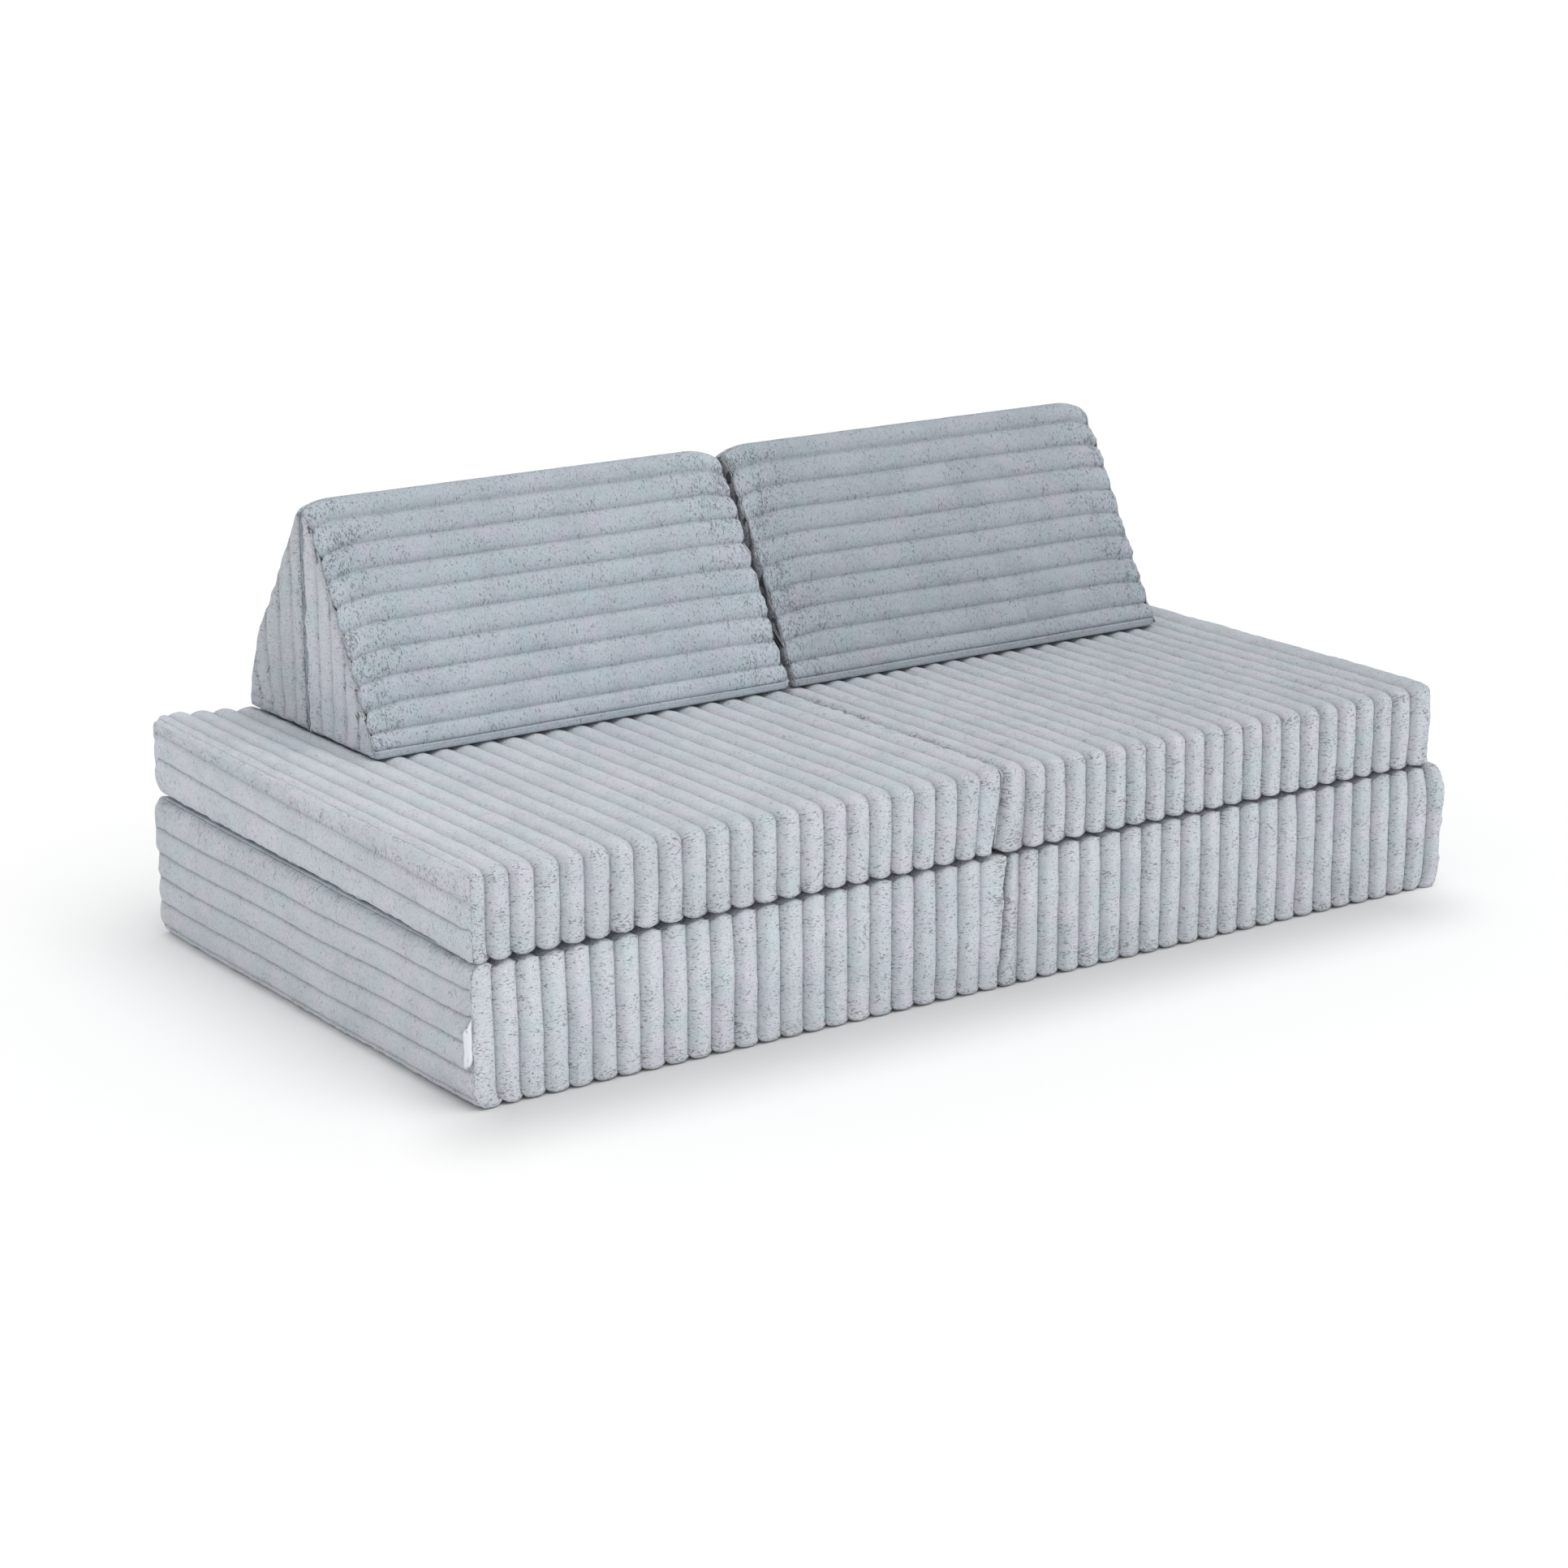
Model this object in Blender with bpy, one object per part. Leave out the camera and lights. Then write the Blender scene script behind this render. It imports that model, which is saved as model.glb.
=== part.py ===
"""A modular foam play sofa: a two-part base mattress, a two-part seat mattress on it and two backrests
of two wedges each, every module a foam block in a ribbed plush cover with its own zip.
Metres. +X runs along the front to the right, +Y to the rear, +Z up. The origin is on the floor at the
fold, half way from front to rear."""

import bmesh
import bpy
import math

for old in list(bpy.data.objects):
    bpy.data.objects.remove(old, do_unlink=True)

# Overall sizes
SOFA_DEPTH = 0.900
BASE_HALF_LENGTH = 0.8304
SEAT_LEFT_SET_IN = 0.0036
SEAT_RIGHT_SET_IN = 0.0304
SEAT_LEFT_LENGTH = BASE_HALF_LENGTH - SEAT_LEFT_SET_IN
SEAT_RIGHT_LENGTH = BASE_HALF_LENGTH - SEAT_RIGHT_SET_IN
BASE_HEIGHT = 0.1908
SEAT_HEIGHT = 0.1224
BACKREST_SPLIT = 0.0064
BACKREST_SHIFT = 0.0165
BACKREST_SET_IN = 0.1563
BACKREST_LENGTH = SEAT_LEFT_LENGTH - BACKREST_SET_IN + BACKREST_SHIFT - BACKREST_SPLIT / 2
WEDGE_DEPTH = 0.1890
WEDGE_HEIGHT = 0.3255
BACKREST_REAR_MARGIN = 0.0018

# Ribbed cloth
BASE_RIB_PITCH = 0.0362
SEAT_LEFT_RIB_PITCH = 0.0365
SEAT_RIGHT_RIB_PITCH = 0.03555
SLOPE_RIB_PITCH = 0.0378
WEDGE_END_RIB_PITCH = 0.0360
RIB_DEPTH = 0.0060
END_RIB_DEPTH = 0.0045
GROOVE_HALF_WIDTH = 0.0072
NARROW_RIB = 0.0162
LEFT_FIRST_GROOVE = 0.0316
BASE_RIGHT_FIRST_GROOVE = 0.0345
SEAT_RIGHT_FIRST_GROOVE = 0.0450
BASE_LEVEL_GROOVES = (0.0144, 0.0504, 0.0864, 0.1224, 0.1584)
SEAT_LEVEL_GROOVES = (0.0430, 0.0810)
END_LIFT_SHARE = 0.55
SIDE_LIFT_SHARE = 0.45
END_SWELL_SHARE = 0.22

# Covers and foam
CLEARANCE = 0.0003
COVER_WALL = 0.0170
COVER_FLOOR = 0.0080
END_PANEL = 0.0180
END_PANEL_INSET = 0.0030
END_PANEL_EDGE = 0.0080
FOLD_PANEL = 0.0030
FOLD_HALF_GAP = 0.0015
FOLD_PANEL_FRONT = 0.0100
FOLD_PANEL_CUT = 0.0120
BASE_TOP_ROUND = 0.0150
SEAT_TOP_ROUND = 0.0220
BOTTOM_ROUND = 0.0090
INNER_TOP_CUT = 0.0140
INNER_BOTTOM_CUT = 0.0040
DIAGONAL_SHARE = 0.2929

# Zip band at the rear of each mattress half, and the zip channel
PLAIN_BAND_RECESS = 0.0070
PLAIN_BAND_HEIGHT = 0.0460
ZIP_CENTRE = 0.0280
ZIP_CHANNEL_HALF = 0.0110
REAR_CHANNEL_DEPTH = 0.0050
WEDGE_CHANNEL_DEPTH = 0.0070
WEDGE_ZIP_CENTRE = 0.0510
ZIP_END_MARGIN = 0.0300
TAPE_HALF = 0.0100
TAPE_THICKNESS = 0.0010
TEETH_HALF = 0.0030
TEETH_TOP = 0.0023
SLIDER_BOTTOM = 0.0026
SLIDER_TOP = 0.0049
SLIDER_LENGTH = 0.0100
PULL_TOP = 0.0061
PULL_LENGTH = 0.0300
PULL_HALF = 0.0040

# Wedge section
WEDGE_HALF_SEAM = 0.0015
RIDGE_MIDDLE = (0.0090, 0.0022)
RIDGE_SHOULDER = (0.0180, 0.0108)
FIRST_SLOPE_GROOVE = 0.0125
SLOPE_GROOVES = 9
TOE_SEAM_HEIGHT = 0.0126
TOE_SEAM_INSET = 0.0030
TOE_STRIP_TOP = 0.0100
TOE_STRIP_BOTTOM = 0.0030
TOE_ROUND = 0.0050
WEDGE_CORNER = 0.0040
WEDGE_END_INSET = 0.0040
WEDGE_BACK_WALL = 0.0080
WEDGE_FLOOR_WALL = 0.0120
WEDGE_SLOPE_WALL = 0.0140
WEDGE_INNER_TOP = 0.0220
WEDGE_INNER_TOE = 0.0300
WEDGE_PANEL_TOP_EDGE = 0.0080
WEDGE_PANEL_TOE = 0.0060

# Tapes in the folds and in the ridge seams
TAPE_GAP_HALF = 0.0009
FOLD_TAPE_LOW = 0.0010
FOLD_TAPE_HIGH = 0.0070
FOLD_TAPE_END = 0.0200
SEAT_TAPE_DROP = 0.0120
RIDGE_TAPE_DROP = 0.0025
RIDGE_TAPE_HEIGHT = 0.0100

# Blank tag
TAG_SPACE = 0.0015
TAG_THICKNESS = 0.0012
TAG_LOW = 0.0540
TAG_HIGH = 0.1170
TAG_FRONT = 0.0050
TAG_REAR = 0.0320
TAG_SLANT = 0.0060

PLUSH = (0.545, 0.588, 0.640, 1.0)
SEAM_CLOTH = (0.420, 0.455, 0.500, 1.0)
PLAIN_CLOTH = (0.500, 0.540, 0.590, 1.0)
FOAM = (0.830, 0.790, 0.640, 1.0)
ZIP_CLOTH = (0.360, 0.395, 0.440, 1.0)
ZIP_METAL = (0.600, 0.610, 0.630, 1.0)
TAG_CLOTH = (0.900, 0.905, 0.915, 1.0)

HALF_DEPTH = SOFA_DEPTH / 2
SEAT_FLOOR = BASE_HEIGHT + CLEARANCE
SEAT_TOP = SEAT_FLOOR + SEAT_HEIGHT
WEDGE_FLOOR = SEAT_TOP + CLEARANCE
WEDGE_TOP = WEDGE_FLOOR + WEDGE_HEIGHT
RIDGE_Y = HALF_DEPTH - BACKREST_REAR_MARGIN - WEDGE_DEPTH - WEDGE_HALF_SEAM

sofa = bpy.data.collections.new("modular_play_sofa")
bpy.context.scene.collection.children.link(sofa)


def add_object(name, bm, colour, roughness, metallic=0.0):
    """Turns a finished bmesh into a named object with its own material."""
    bmesh.ops.recalc_face_normals(bm, faces=bm.faces[:])
    mesh = bpy.data.meshes.new(name)
    bm.to_mesh(mesh)
    bm.free()
    material = bpy.data.materials.new(name)
    material.use_nodes = True
    shader = material.node_tree.nodes["Principled BSDF"]
    shader.inputs["Base Color"].default_value = colour
    shader.inputs["Roughness"].default_value = roughness
    shader.inputs["Metallic"].default_value = metallic
    mesh.materials.append(material)
    piece = bpy.data.objects.new(name, mesh)
    sofa.objects.link(piece)
    return piece


def prism(name, outline, place, start, end, colour, roughness, metallic=0.0):
    """Extrudes a flat outline from start to end along the direction that place gives."""
    bm = bmesh.new()
    corners = [bm.verts.new(place(a, b, start)) for a, b in outline]
    face = bm.faces.new(corners)
    grown = bmesh.ops.extrude_face_region(bm, geom=[face])["geom"]
    moved = [item for item in grown if isinstance(item, bmesh.types.BMVert)]
    step = [q - p for p, q in zip(place(0.0, 0.0, start), place(0.0, 0.0, end))]
    bmesh.ops.translate(bm, verts=moved, vec=step)
    return add_object(name, bm, colour, roughness, metallic)


def inset_outline(outline, distance):
    """Moves every side of a convex outline inwards by one distance."""
    count = len(outline)
    area = sum(
        outline[i][0] * outline[(i + 1) % count][1] - outline[(i + 1) % count][0] * outline[i][1]
        for i in range(count)
    )
    turn = 1.0 if area > 0 else -1.0
    sides = []
    for i in range(count):
        (ax, ay), (bx, by) = outline[i], outline[(i + 1) % count]
        length = math.hypot(bx - ax, by - ay)
        nx = -(by - ay) / length * turn
        ny = (bx - ax) / length * turn
        sides.append((nx, ny, nx * ax + ny * ay + distance))
    corners = []
    for i in range(count):
        (n1x, n1y, c1), (n2x, n2y, c2) = sides[i - 1], sides[i]
        det = n1x * n2y - n1y * n2x
        corners.append(((c1 * n2y - c2 * n1y) / det, (n1x * c2 - n2x * c1) / det))
    return corners


def sleeve(name, stations, ring, steady, inner, keys, place, colour):
    """A ribbed cover without its ends. The outer skin lofts one section per station, the inner one is
    a plain tube, and a flat rim joins them at each end. Steady points are the same in every section."""
    bm = bmesh.new()
    rows = []
    last = len(stations) - 1
    for k, (t, share) in enumerate(stations):
        section = ring(share)
        keep = k in (0, last)
        rows.append(
            [
                bm.verts.new(place(a, b, t)) if keep or i not in steady else None
                for i, (a, b) in enumerate(section)
            ]
        )
    count = len(rows[0])
    for i in range(count):
        j = (i + 1) % count
        if i in steady and j in steady:
            bm.faces.new((rows[0][i], rows[0][j], rows[last][j], rows[last][i]))
        elif i in steady:
            chain = [rows[k][j] for k in range(last + 1)]
            bm.faces.new([rows[0][i], *chain, rows[last][i]])
        elif j in steady:
            chain = [rows[k][i] for k in range(last + 1)]
            bm.faces.new([rows[0][j], *chain, rows[last][j]])
        else:
            for k in range(last):
                bm.faces.new((rows[k][i], rows[k][j], rows[k + 1][j], rows[k + 1][i]))
    tubes = []
    for k in (0, last):
        tube = [bm.verts.new(place(a, b, stations[k][0])) for a, b in inner]
        tubes.append(tube)
        for a in range(len(keys)):
            b = (a + 1) % len(keys)
            chain = [keys[a]]
            while chain[-1] != keys[b]:
                chain.append((chain[-1] + 1) % count)
            bm.faces.new([rows[k][i] for i in chain] + [tube[b], tube[a]])
    for a in range(len(inner)):
        b = (a + 1) % len(inner)
        bm.faces.new((tubes[0][a], tubes[0][b], tubes[1][b], tubes[1][a]))
    return add_object(name, bm, colour, 0.95)


def ribbed_plate(name, stations, extent, place, colour):
    """An end panel. Each station has how far the face lifts; extent gives where the section starts
    and stops there, and how much of each side its rounded edge takes."""
    bm = bmesh.new()
    rows = []
    for t, lift in stations:
        low, high, low_edge, high_edge = extent(t)
        side = END_PANEL * SIDE_LIFT_SHARE
        section = (
            (low, 0.0),
            (low, side),
            (low + low_edge, lift),
            (high - high_edge, lift),
            (high, side),
            (high, 0.0),
        )
        rows.append([bm.verts.new(place(a, b, t)) for a, b in section])
    for here, there in zip(rows, rows[1:]):
        for i in range(6):
            j = (i + 1) % 6
            bm.faces.new((here[i], here[j], there[j], there[i]))
    bm.faces.new(rows[0])
    bm.faces.new(rows[-1])
    return add_object(name, bm, colour, 0.95)


def groove_places(first, end, pitch):
    """Groove places one rib pitch apart, from the first up to the end."""
    places = []
    at = first
    while at < end - GROOVE_HALF_WIDTH:
        places.append(at)
        at += pitch
    return places


def rib_stations(start, end, grooves):
    """Stations along a ribbed length: (place, share of the rib depth that the surface is sunk)."""
    edges = [start, *grooves, end]
    stations = [(start, 1.0)]
    for low, high in zip(edges, edges[1:]):
        if high - low < NARROW_RIB:
            stations.append(((low + high) / 2, 0.0))
        else:
            stations.append((low + GROOVE_HALF_WIDTH, 0.0))
            stations.append((high - GROOVE_HALF_WIDTH, 0.0))
        stations.append((high, 1.0))
    return stations


def plate_stations(start, end, grooves, crest):
    """Stations across an end panel: (place, lift of the ribbed face). The face swells towards its
    middle, like a pillow."""
    low = start + END_PANEL_EDGE
    high = end - END_PANEL_EDGE
    middle = (start + end) / 2
    reach = (end - start) / 2

    def swell(t):
        return crest * (1.0 - END_SWELL_SHARE * (abs(t - middle) / reach) ** 2)

    stations = [(start, END_PANEL * END_LIFT_SHARE), (low, swell(low))]
    for groove in grooves:
        near = groove - GROOVE_HALF_WIDTH
        far = groove + GROOVE_HALF_WIDTH
        if near > low + CLEARANCE:
            stations.append((near, swell(near)))
        stations.append((groove, swell(groove) - END_RIB_DEPTH))
        if far < high - CLEARANCE:
            stations.append((far, swell(far)))
    stations.append((high, swell(high)))
    stations.append((end, END_PANEL * END_LIFT_SHARE))
    return stations


def zip_and_slider(prefix, place, start, end, slider_at, pull_way):
    """The tape with its teeth, and the slider with its pull lying along the zip."""
    tape_low = CLEARANCE
    tape_high = CLEARANCE + TAPE_THICKNESS
    profile = (
        (-TAPE_HALF, tape_low),
        (TAPE_HALF, tape_low),
        (TAPE_HALF, tape_high),
        (TEETH_HALF, tape_high),
        (TEETH_HALF, TEETH_TOP),
        (-TEETH_HALF, TEETH_TOP),
        (-TEETH_HALF, tape_high),
        (-TAPE_HALF, tape_high),
    )
    prism(prefix + "_zip", profile, place, start, end, ZIP_CLOTH, 0.7)
    side = (
        (0.0, SLIDER_BOTTOM),
        (SLIDER_LENGTH, SLIDER_BOTTOM),
        (SLIDER_LENGTH, SLIDER_TOP),
        (PULL_LENGTH, SLIDER_TOP),
        (PULL_LENGTH, PULL_TOP),
        (0.0, PULL_TOP),
    )

    def along(a, b, t):
        return place(t, b, slider_at + pull_way * a)

    prism(prefix + "_slider", side, along, -PULL_HALF, PULL_HALF, ZIP_METAL, 0.35, 0.8)


def mattress_section(floor, top, top_round):
    """The section of a mattress half: a function of the rib share, its steady points, the inner
    outline and the outer point that each inner point is joined to."""
    band = HALF_DEPTH - PLAIN_BAND_RECESS
    channel = band - REAR_CHANNEL_DEPTH
    band_top = floor + PLAIN_BAND_HEIGHT
    zip_high = floor + ZIP_CENTRE + ZIP_CHANNEL_HALF
    zip_low = floor + ZIP_CENTRE - ZIP_CHANNEL_HALF

    def ring(share):
        sunk = RIB_DEPTH * share
        front = -HALF_DEPTH + sunk
        rear = HALF_DEPTH - sunk
        crown = top - sunk
        corner = top_round * DIAGONAL_SHARE
        return [
            (front + BOTTOM_ROUND, floor),
            (front, floor + BOTTOM_ROUND),
            (front, crown - top_round),
            (front + corner, crown - corner),
            (front + top_round, crown),
            (rear - top_round, crown),
            (rear, crown - top_round),
            (rear, band_top),
            (band, band_top),
            (band, zip_high),
            (channel, zip_high),
            (channel, zip_low),
            (band, zip_low),
            (band, floor + BOTTOM_ROUND),
            (band - BOTTOM_ROUND, floor),
        ]

    near = -HALF_DEPTH + COVER_WALL
    far = HALF_DEPTH - COVER_WALL
    low = floor + COVER_FLOOR
    high = top - COVER_WALL
    inner = [
        (near + INNER_BOTTOM_CUT, low),
        (near, low + INNER_BOTTOM_CUT),
        (near, high - INNER_TOP_CUT),
        (near + INNER_TOP_CUT, high),
        (far - INNER_TOP_CUT, high),
        (far, high - INNER_TOP_CUT),
        (far, low + INNER_BOTTOM_CUT),
        (far - INNER_BOTTOM_CUT, low),
    ]
    steady = set(range(8, 15))
    keys = [0, 1, 2, 4, 5, 6, 13, 14]
    return ring, steady, inner, keys


def mattress_half(prefix, side, floor, top, top_round, length, first_groove, pitch, level_grooves):
    """One half of a mattress. Side is -1 on the left and 1 on the right of the fold; lengths along it
    are counted from the fold."""

    def place(y, z, t):
        return (side * t, y, z)

    panel_foot = length - END_PANEL
    cover_start = FOLD_HALF_GAP + FOLD_PANEL + CLEARANCE
    cover_end = panel_foot - CLEARANCE
    ring, steady, inner, keys = mattress_section(floor, top, top_round)
    stations = rib_stations(cover_start, cover_end, groove_places(first_groove, cover_end, pitch))
    sleeve(prefix + "_cover", stations, ring, steady, inner, keys, place, PLUSH)

    foam = inset_outline(inner, CLEARANCE)
    prism(prefix + "_foam", foam, place, cover_start, cover_end, FOAM, 0.9)

    front = -HALF_DEPTH + FOLD_PANEL_FRONT
    rear = HALF_DEPTH - PLAIN_BAND_RECESS - REAR_CHANNEL_DEPTH
    low = floor + INNER_BOTTOM_CUT
    high = top - FOLD_PANEL_FRONT
    cut = FOLD_PANEL_CUT
    outline = (
        (front, low + cut),
        (front + cut, low),
        (rear - cut, low),
        (rear, low + cut),
        (rear, high - cut),
        (rear - cut, high),
        (front + cut, high),
        (front, high - cut),
    )
    fold_end = FOLD_HALF_GAP + FOLD_PANEL
    prism(prefix + "_fold_panel", outline, place, FOLD_HALF_GAP, fold_end, PLAIN_CLOTH, 0.9)

    def stand(a, b, t):
        return (side * (panel_foot + b), a, t)

    def extent(t):
        near = -HALF_DEPTH + END_PANEL_INSET
        far = HALF_DEPTH - PLAIN_BAND_RECESS - END_PANEL_INSET
        return near, far, END_PANEL_EDGE, END_PANEL_EDGE

    grooves = [floor + g for g in level_grooves]
    rows = plate_stations(floor + END_PANEL_INSET, top - END_PANEL_INSET, grooves, END_PANEL)
    ribbed_plate(prefix + "_end_panel", rows, extent, stand, PLUSH)

    def on_rear(w, n, t):
        y = HALF_DEPTH - PLAIN_BAND_RECESS - REAR_CHANNEL_DEPTH + n
        return (side * t, y, floor + ZIP_CENTRE + w)

    zip_start = cover_start + ZIP_END_MARGIN
    zip_end = cover_end - ZIP_END_MARGIN
    zip_and_slider(prefix, on_rear, zip_start, zip_end, zip_end - SLIDER_LENGTH, -1)


def wedge_section():
    """The section of a wedge, as distance from the ridge plane and height over the wedge's floor."""
    shoulder = (RIDGE_SHOULDER[0], WEDGE_HEIGHT - RIDGE_SHOULDER[1])
    toe = (WEDGE_DEPTH, TOE_SEAM_HEIGHT)
    run = toe[0] - shoulder[0]
    drop = toe[1] - shoulder[1]
    length = math.hypot(run, drop)
    along = (run / length, drop / length)
    outward = (-along[1], along[0])
    zip_far = WEDGE_ZIP_CENTRE + ZIP_CHANNEL_HALF
    zip_near = WEDGE_ZIP_CENTRE - ZIP_CHANNEL_HALF

    def on_slope(s, sunk):
        return (
            shoulder[0] + along[0] * s - outward[0] * sunk,
            shoulder[1] + along[1] * s - outward[1] * sunk,
        )

    grooves = [FIRST_SLOPE_GROOVE + SLOPE_RIB_PITCH * k for k in range(SLOPE_GROOVES)]

    def ring(share):
        sunk = WEDGE_END_INSET * share
        points = [
            (0.0, WEDGE_CORNER),
            (0.0, WEDGE_HEIGHT - sunk),
            (RIDGE_MIDDLE[0] - sunk / 3, WEDGE_HEIGHT - RIDGE_MIDDLE[1] - sunk),
            on_slope(0.0, sunk),
        ]
        for groove in grooves:
            points.append(on_slope(groove - GROOVE_HALF_WIDTH, sunk))
            points.append(on_slope(groove, sunk + RIB_DEPTH))
            points.append(on_slope(groove + GROOVE_HALF_WIDTH, sunk))
        points.append(on_slope(length - GROOVE_HALF_WIDTH, sunk))
        points.append((WEDGE_DEPTH - TOE_SEAM_INSET - sunk, TOE_SEAM_HEIGHT))
        points.append((WEDGE_DEPTH - sunk, TOE_STRIP_TOP))
        points.append((WEDGE_DEPTH - sunk, TOE_STRIP_BOTTOM))
        points.append((WEDGE_DEPTH - TOE_ROUND - sunk, 0.0))
        points.append((zip_far, 0.0))
        points.append((zip_far, WEDGE_CHANNEL_DEPTH))
        points.append((zip_near, WEDGE_CHANNEL_DEPTH))
        points.append((zip_near, 0.0))
        points.append((WEDGE_CORNER, 0.0))
        return points

    count = len(ring(0.0))
    steady = {0} | set(range(count - 5, count))
    high = on_slope(WEDGE_INNER_TOP, WEDGE_SLOPE_WALL)
    low = on_slope(length - WEDGE_INNER_TOE, WEDGE_SLOPE_WALL)
    inner = [
        (WEDGE_BACK_WALL, WEDGE_FLOOR_WALL),
        (WEDGE_BACK_WALL, high[1]),
        high,
        low,
        (low[0], WEDGE_FLOOR_WALL),
    ]
    keys = [0, 1, 3, count - 9, count - 6]

    def top_at(u):
        """Height of the slope over the floor, over a distance from the ridge plane."""
        if u < RIDGE_SHOULDER[0]:
            share = u / RIDGE_SHOULDER[0]
            return WEDGE_HEIGHT - RIDGE_SHOULDER[1] * share * share
        return shoulder[1] + drop * (u - shoulder[0]) / run

    return ring, steady, inner, keys, top_at


def wedge(prefix, way, x_low, x_high):
    """One wedge. Way is -1 for the front wedge, whose toe points forwards, and 1 for the rear one."""
    ring, steady, inner, keys, top_at = wedge_section()

    def place(u, z, t):
        return (t, RIDGE_Y + way * (WEDGE_HALF_SEAM + u), WEDGE_FLOOR + z)

    cover_low = x_low + END_PANEL + CLEARANCE
    cover_high = x_high - END_PANEL - CLEARANCE
    stations = [
        (cover_low, 1.0),
        (cover_low + WEDGE_END_INSET, 0.0),
        (cover_high - WEDGE_END_INSET, 0.0),
        (cover_high, 1.0),
    ]
    sleeve(prefix + "_cover", stations, ring, steady, inner, keys, place, PLUSH)
    foam = inset_outline(inner, CLEARANCE)
    prism(prefix + "_foam", foam, place, cover_low, cover_high, FOAM, 0.9)

    start = END_PANEL_INSET
    end = WEDGE_DEPTH - WEDGE_PANEL_TOE
    grooves = [WEDGE_END_RIB_PITCH * k for k in range(1, 5)]
    rows = plate_stations(start, end, grooves, END_PANEL)

    def extent(t):
        margin = WEDGE_END_INSET + END_PANEL_INSET
        return END_PANEL_INSET, top_at(t) - margin, END_PANEL_EDGE, WEDGE_PANEL_TOP_EDGE

    for label, foot, out in (("left", x_low + END_PANEL, -1), ("right", x_high - END_PANEL, 1)):

        def stand(a, b, t, foot=foot, out=out):
            return (foot + out * b, RIDGE_Y + way * (WEDGE_HALF_SEAM + t), WEDGE_FLOOR + a)

        ribbed_plate(f"{prefix}_{label}_panel", rows, extent, stand, PLUSH)

    def under(w, n, t):
        y = RIDGE_Y + way * (WEDGE_HALF_SEAM + WEDGE_ZIP_CENTRE + w)
        return (t, y, WEDGE_FLOOR + WEDGE_CHANNEL_DEPTH - n)

    zip_start = cover_low + ZIP_END_MARGIN
    zip_end = cover_high - ZIP_END_MARGIN
    zip_and_slider(prefix, under, zip_start, zip_end, zip_end - SLIDER_LENGTH, -1)


def fold_tape(name, low, high):
    """The cloth strip that ties the two halves of a mattress together in the fold."""
    outline = (
        (-TAPE_GAP_HALF, low),
        (TAPE_GAP_HALF, low),
        (TAPE_GAP_HALF, high),
        (-TAPE_GAP_HALF, high),
    )

    def place(a, b, t):
        return (a, t, b)

    prism(name, outline, place, -HALF_DEPTH + FOLD_TAPE_END, HALF_DEPTH - FOLD_TAPE_END, SEAM_CLOTH, 0.9)


def ridge_tape(name, x_low, x_high):
    """The cloth strip that joins a front and a rear wedge at the ridge."""
    high = WEDGE_TOP - RIDGE_TAPE_DROP
    low = high - RIDGE_TAPE_HEIGHT
    outline = (
        (RIDGE_Y - TAPE_GAP_HALF, low),
        (RIDGE_Y + TAPE_GAP_HALF, low),
        (RIDGE_Y + TAPE_GAP_HALF, high),
        (RIDGE_Y - TAPE_GAP_HALF, high),
    )

    def place(a, b, t):
        return (t, a, b)

    prism(name, outline, place, x_low + END_PANEL, x_high - END_PANEL, SEAM_CLOTH, 0.9)


# Base mattress
mattress_half(
    "base_left", -1, 0.0, BASE_HEIGHT, BASE_TOP_ROUND, BASE_HALF_LENGTH - TAG_SPACE,
    LEFT_FIRST_GROOVE, BASE_RIB_PITCH, BASE_LEVEL_GROOVES,
)
mattress_half(
    "base_right", 1, 0.0, BASE_HEIGHT, BASE_TOP_ROUND, BASE_HALF_LENGTH,
    BASE_RIGHT_FIRST_GROOVE, BASE_RIB_PITCH, BASE_LEVEL_GROOVES,
)
fold_tape("base_fold_tape", FOLD_TAPE_LOW, FOLD_TAPE_HIGH)

# Seat mattress
mattress_half(
    "seat_left", -1, SEAT_FLOOR, SEAT_TOP, SEAT_TOP_ROUND, SEAT_LEFT_LENGTH,
    LEFT_FIRST_GROOVE, SEAT_LEFT_RIB_PITCH, SEAT_LEVEL_GROOVES,
)
mattress_half(
    "seat_right", 1, SEAT_FLOOR, SEAT_TOP, SEAT_TOP_ROUND, SEAT_RIGHT_LENGTH,
    SEAT_RIGHT_FIRST_GROOVE, SEAT_RIGHT_RIB_PITCH, SEAT_LEVEL_GROOVES,
)
fold_tape("seat_fold_tape", SEAT_TOP - SEAT_TAPE_DROP, SEAT_TOP - SEAT_TAPE_DROP + FOLD_TAPE_HIGH - FOLD_TAPE_LOW)

# Backrests
for side_name, low_end in (
    ("left", BACKREST_SHIFT - BACKREST_SPLIT / 2 - BACKREST_LENGTH),
    ("right", BACKREST_SHIFT + BACKREST_SPLIT / 2),
):
    high_end = low_end + BACKREST_LENGTH
    wedge(f"back_{side_name}_rear", 1, low_end, high_end)
    wedge(f"back_{side_name}_front", -1, low_end, high_end)
    ridge_tape(f"back_{side_name}_ridge_tape", low_end, high_end)

# Blank tag in the front left corner seam of the base
tag_outline = (
    (-HALF_DEPTH + TAG_FRONT, TAG_LOW),
    (-HALF_DEPTH + TAG_REAR - TAG_SLANT, TAG_LOW + TAG_SLANT),
    (-HALF_DEPTH + TAG_REAR, TAG_HIGH - TAG_SLANT),
    (-HALF_DEPTH + TAG_FRONT, TAG_HIGH),
)


def tag_place(a, b, t):
    return (t, a, b)


prism(
    "blank_tag", tag_outline, tag_place, -BASE_HALF_LENGTH, -BASE_HALF_LENGTH + TAG_THICKNESS,
    TAG_CLOTH, 0.6,
)
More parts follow.
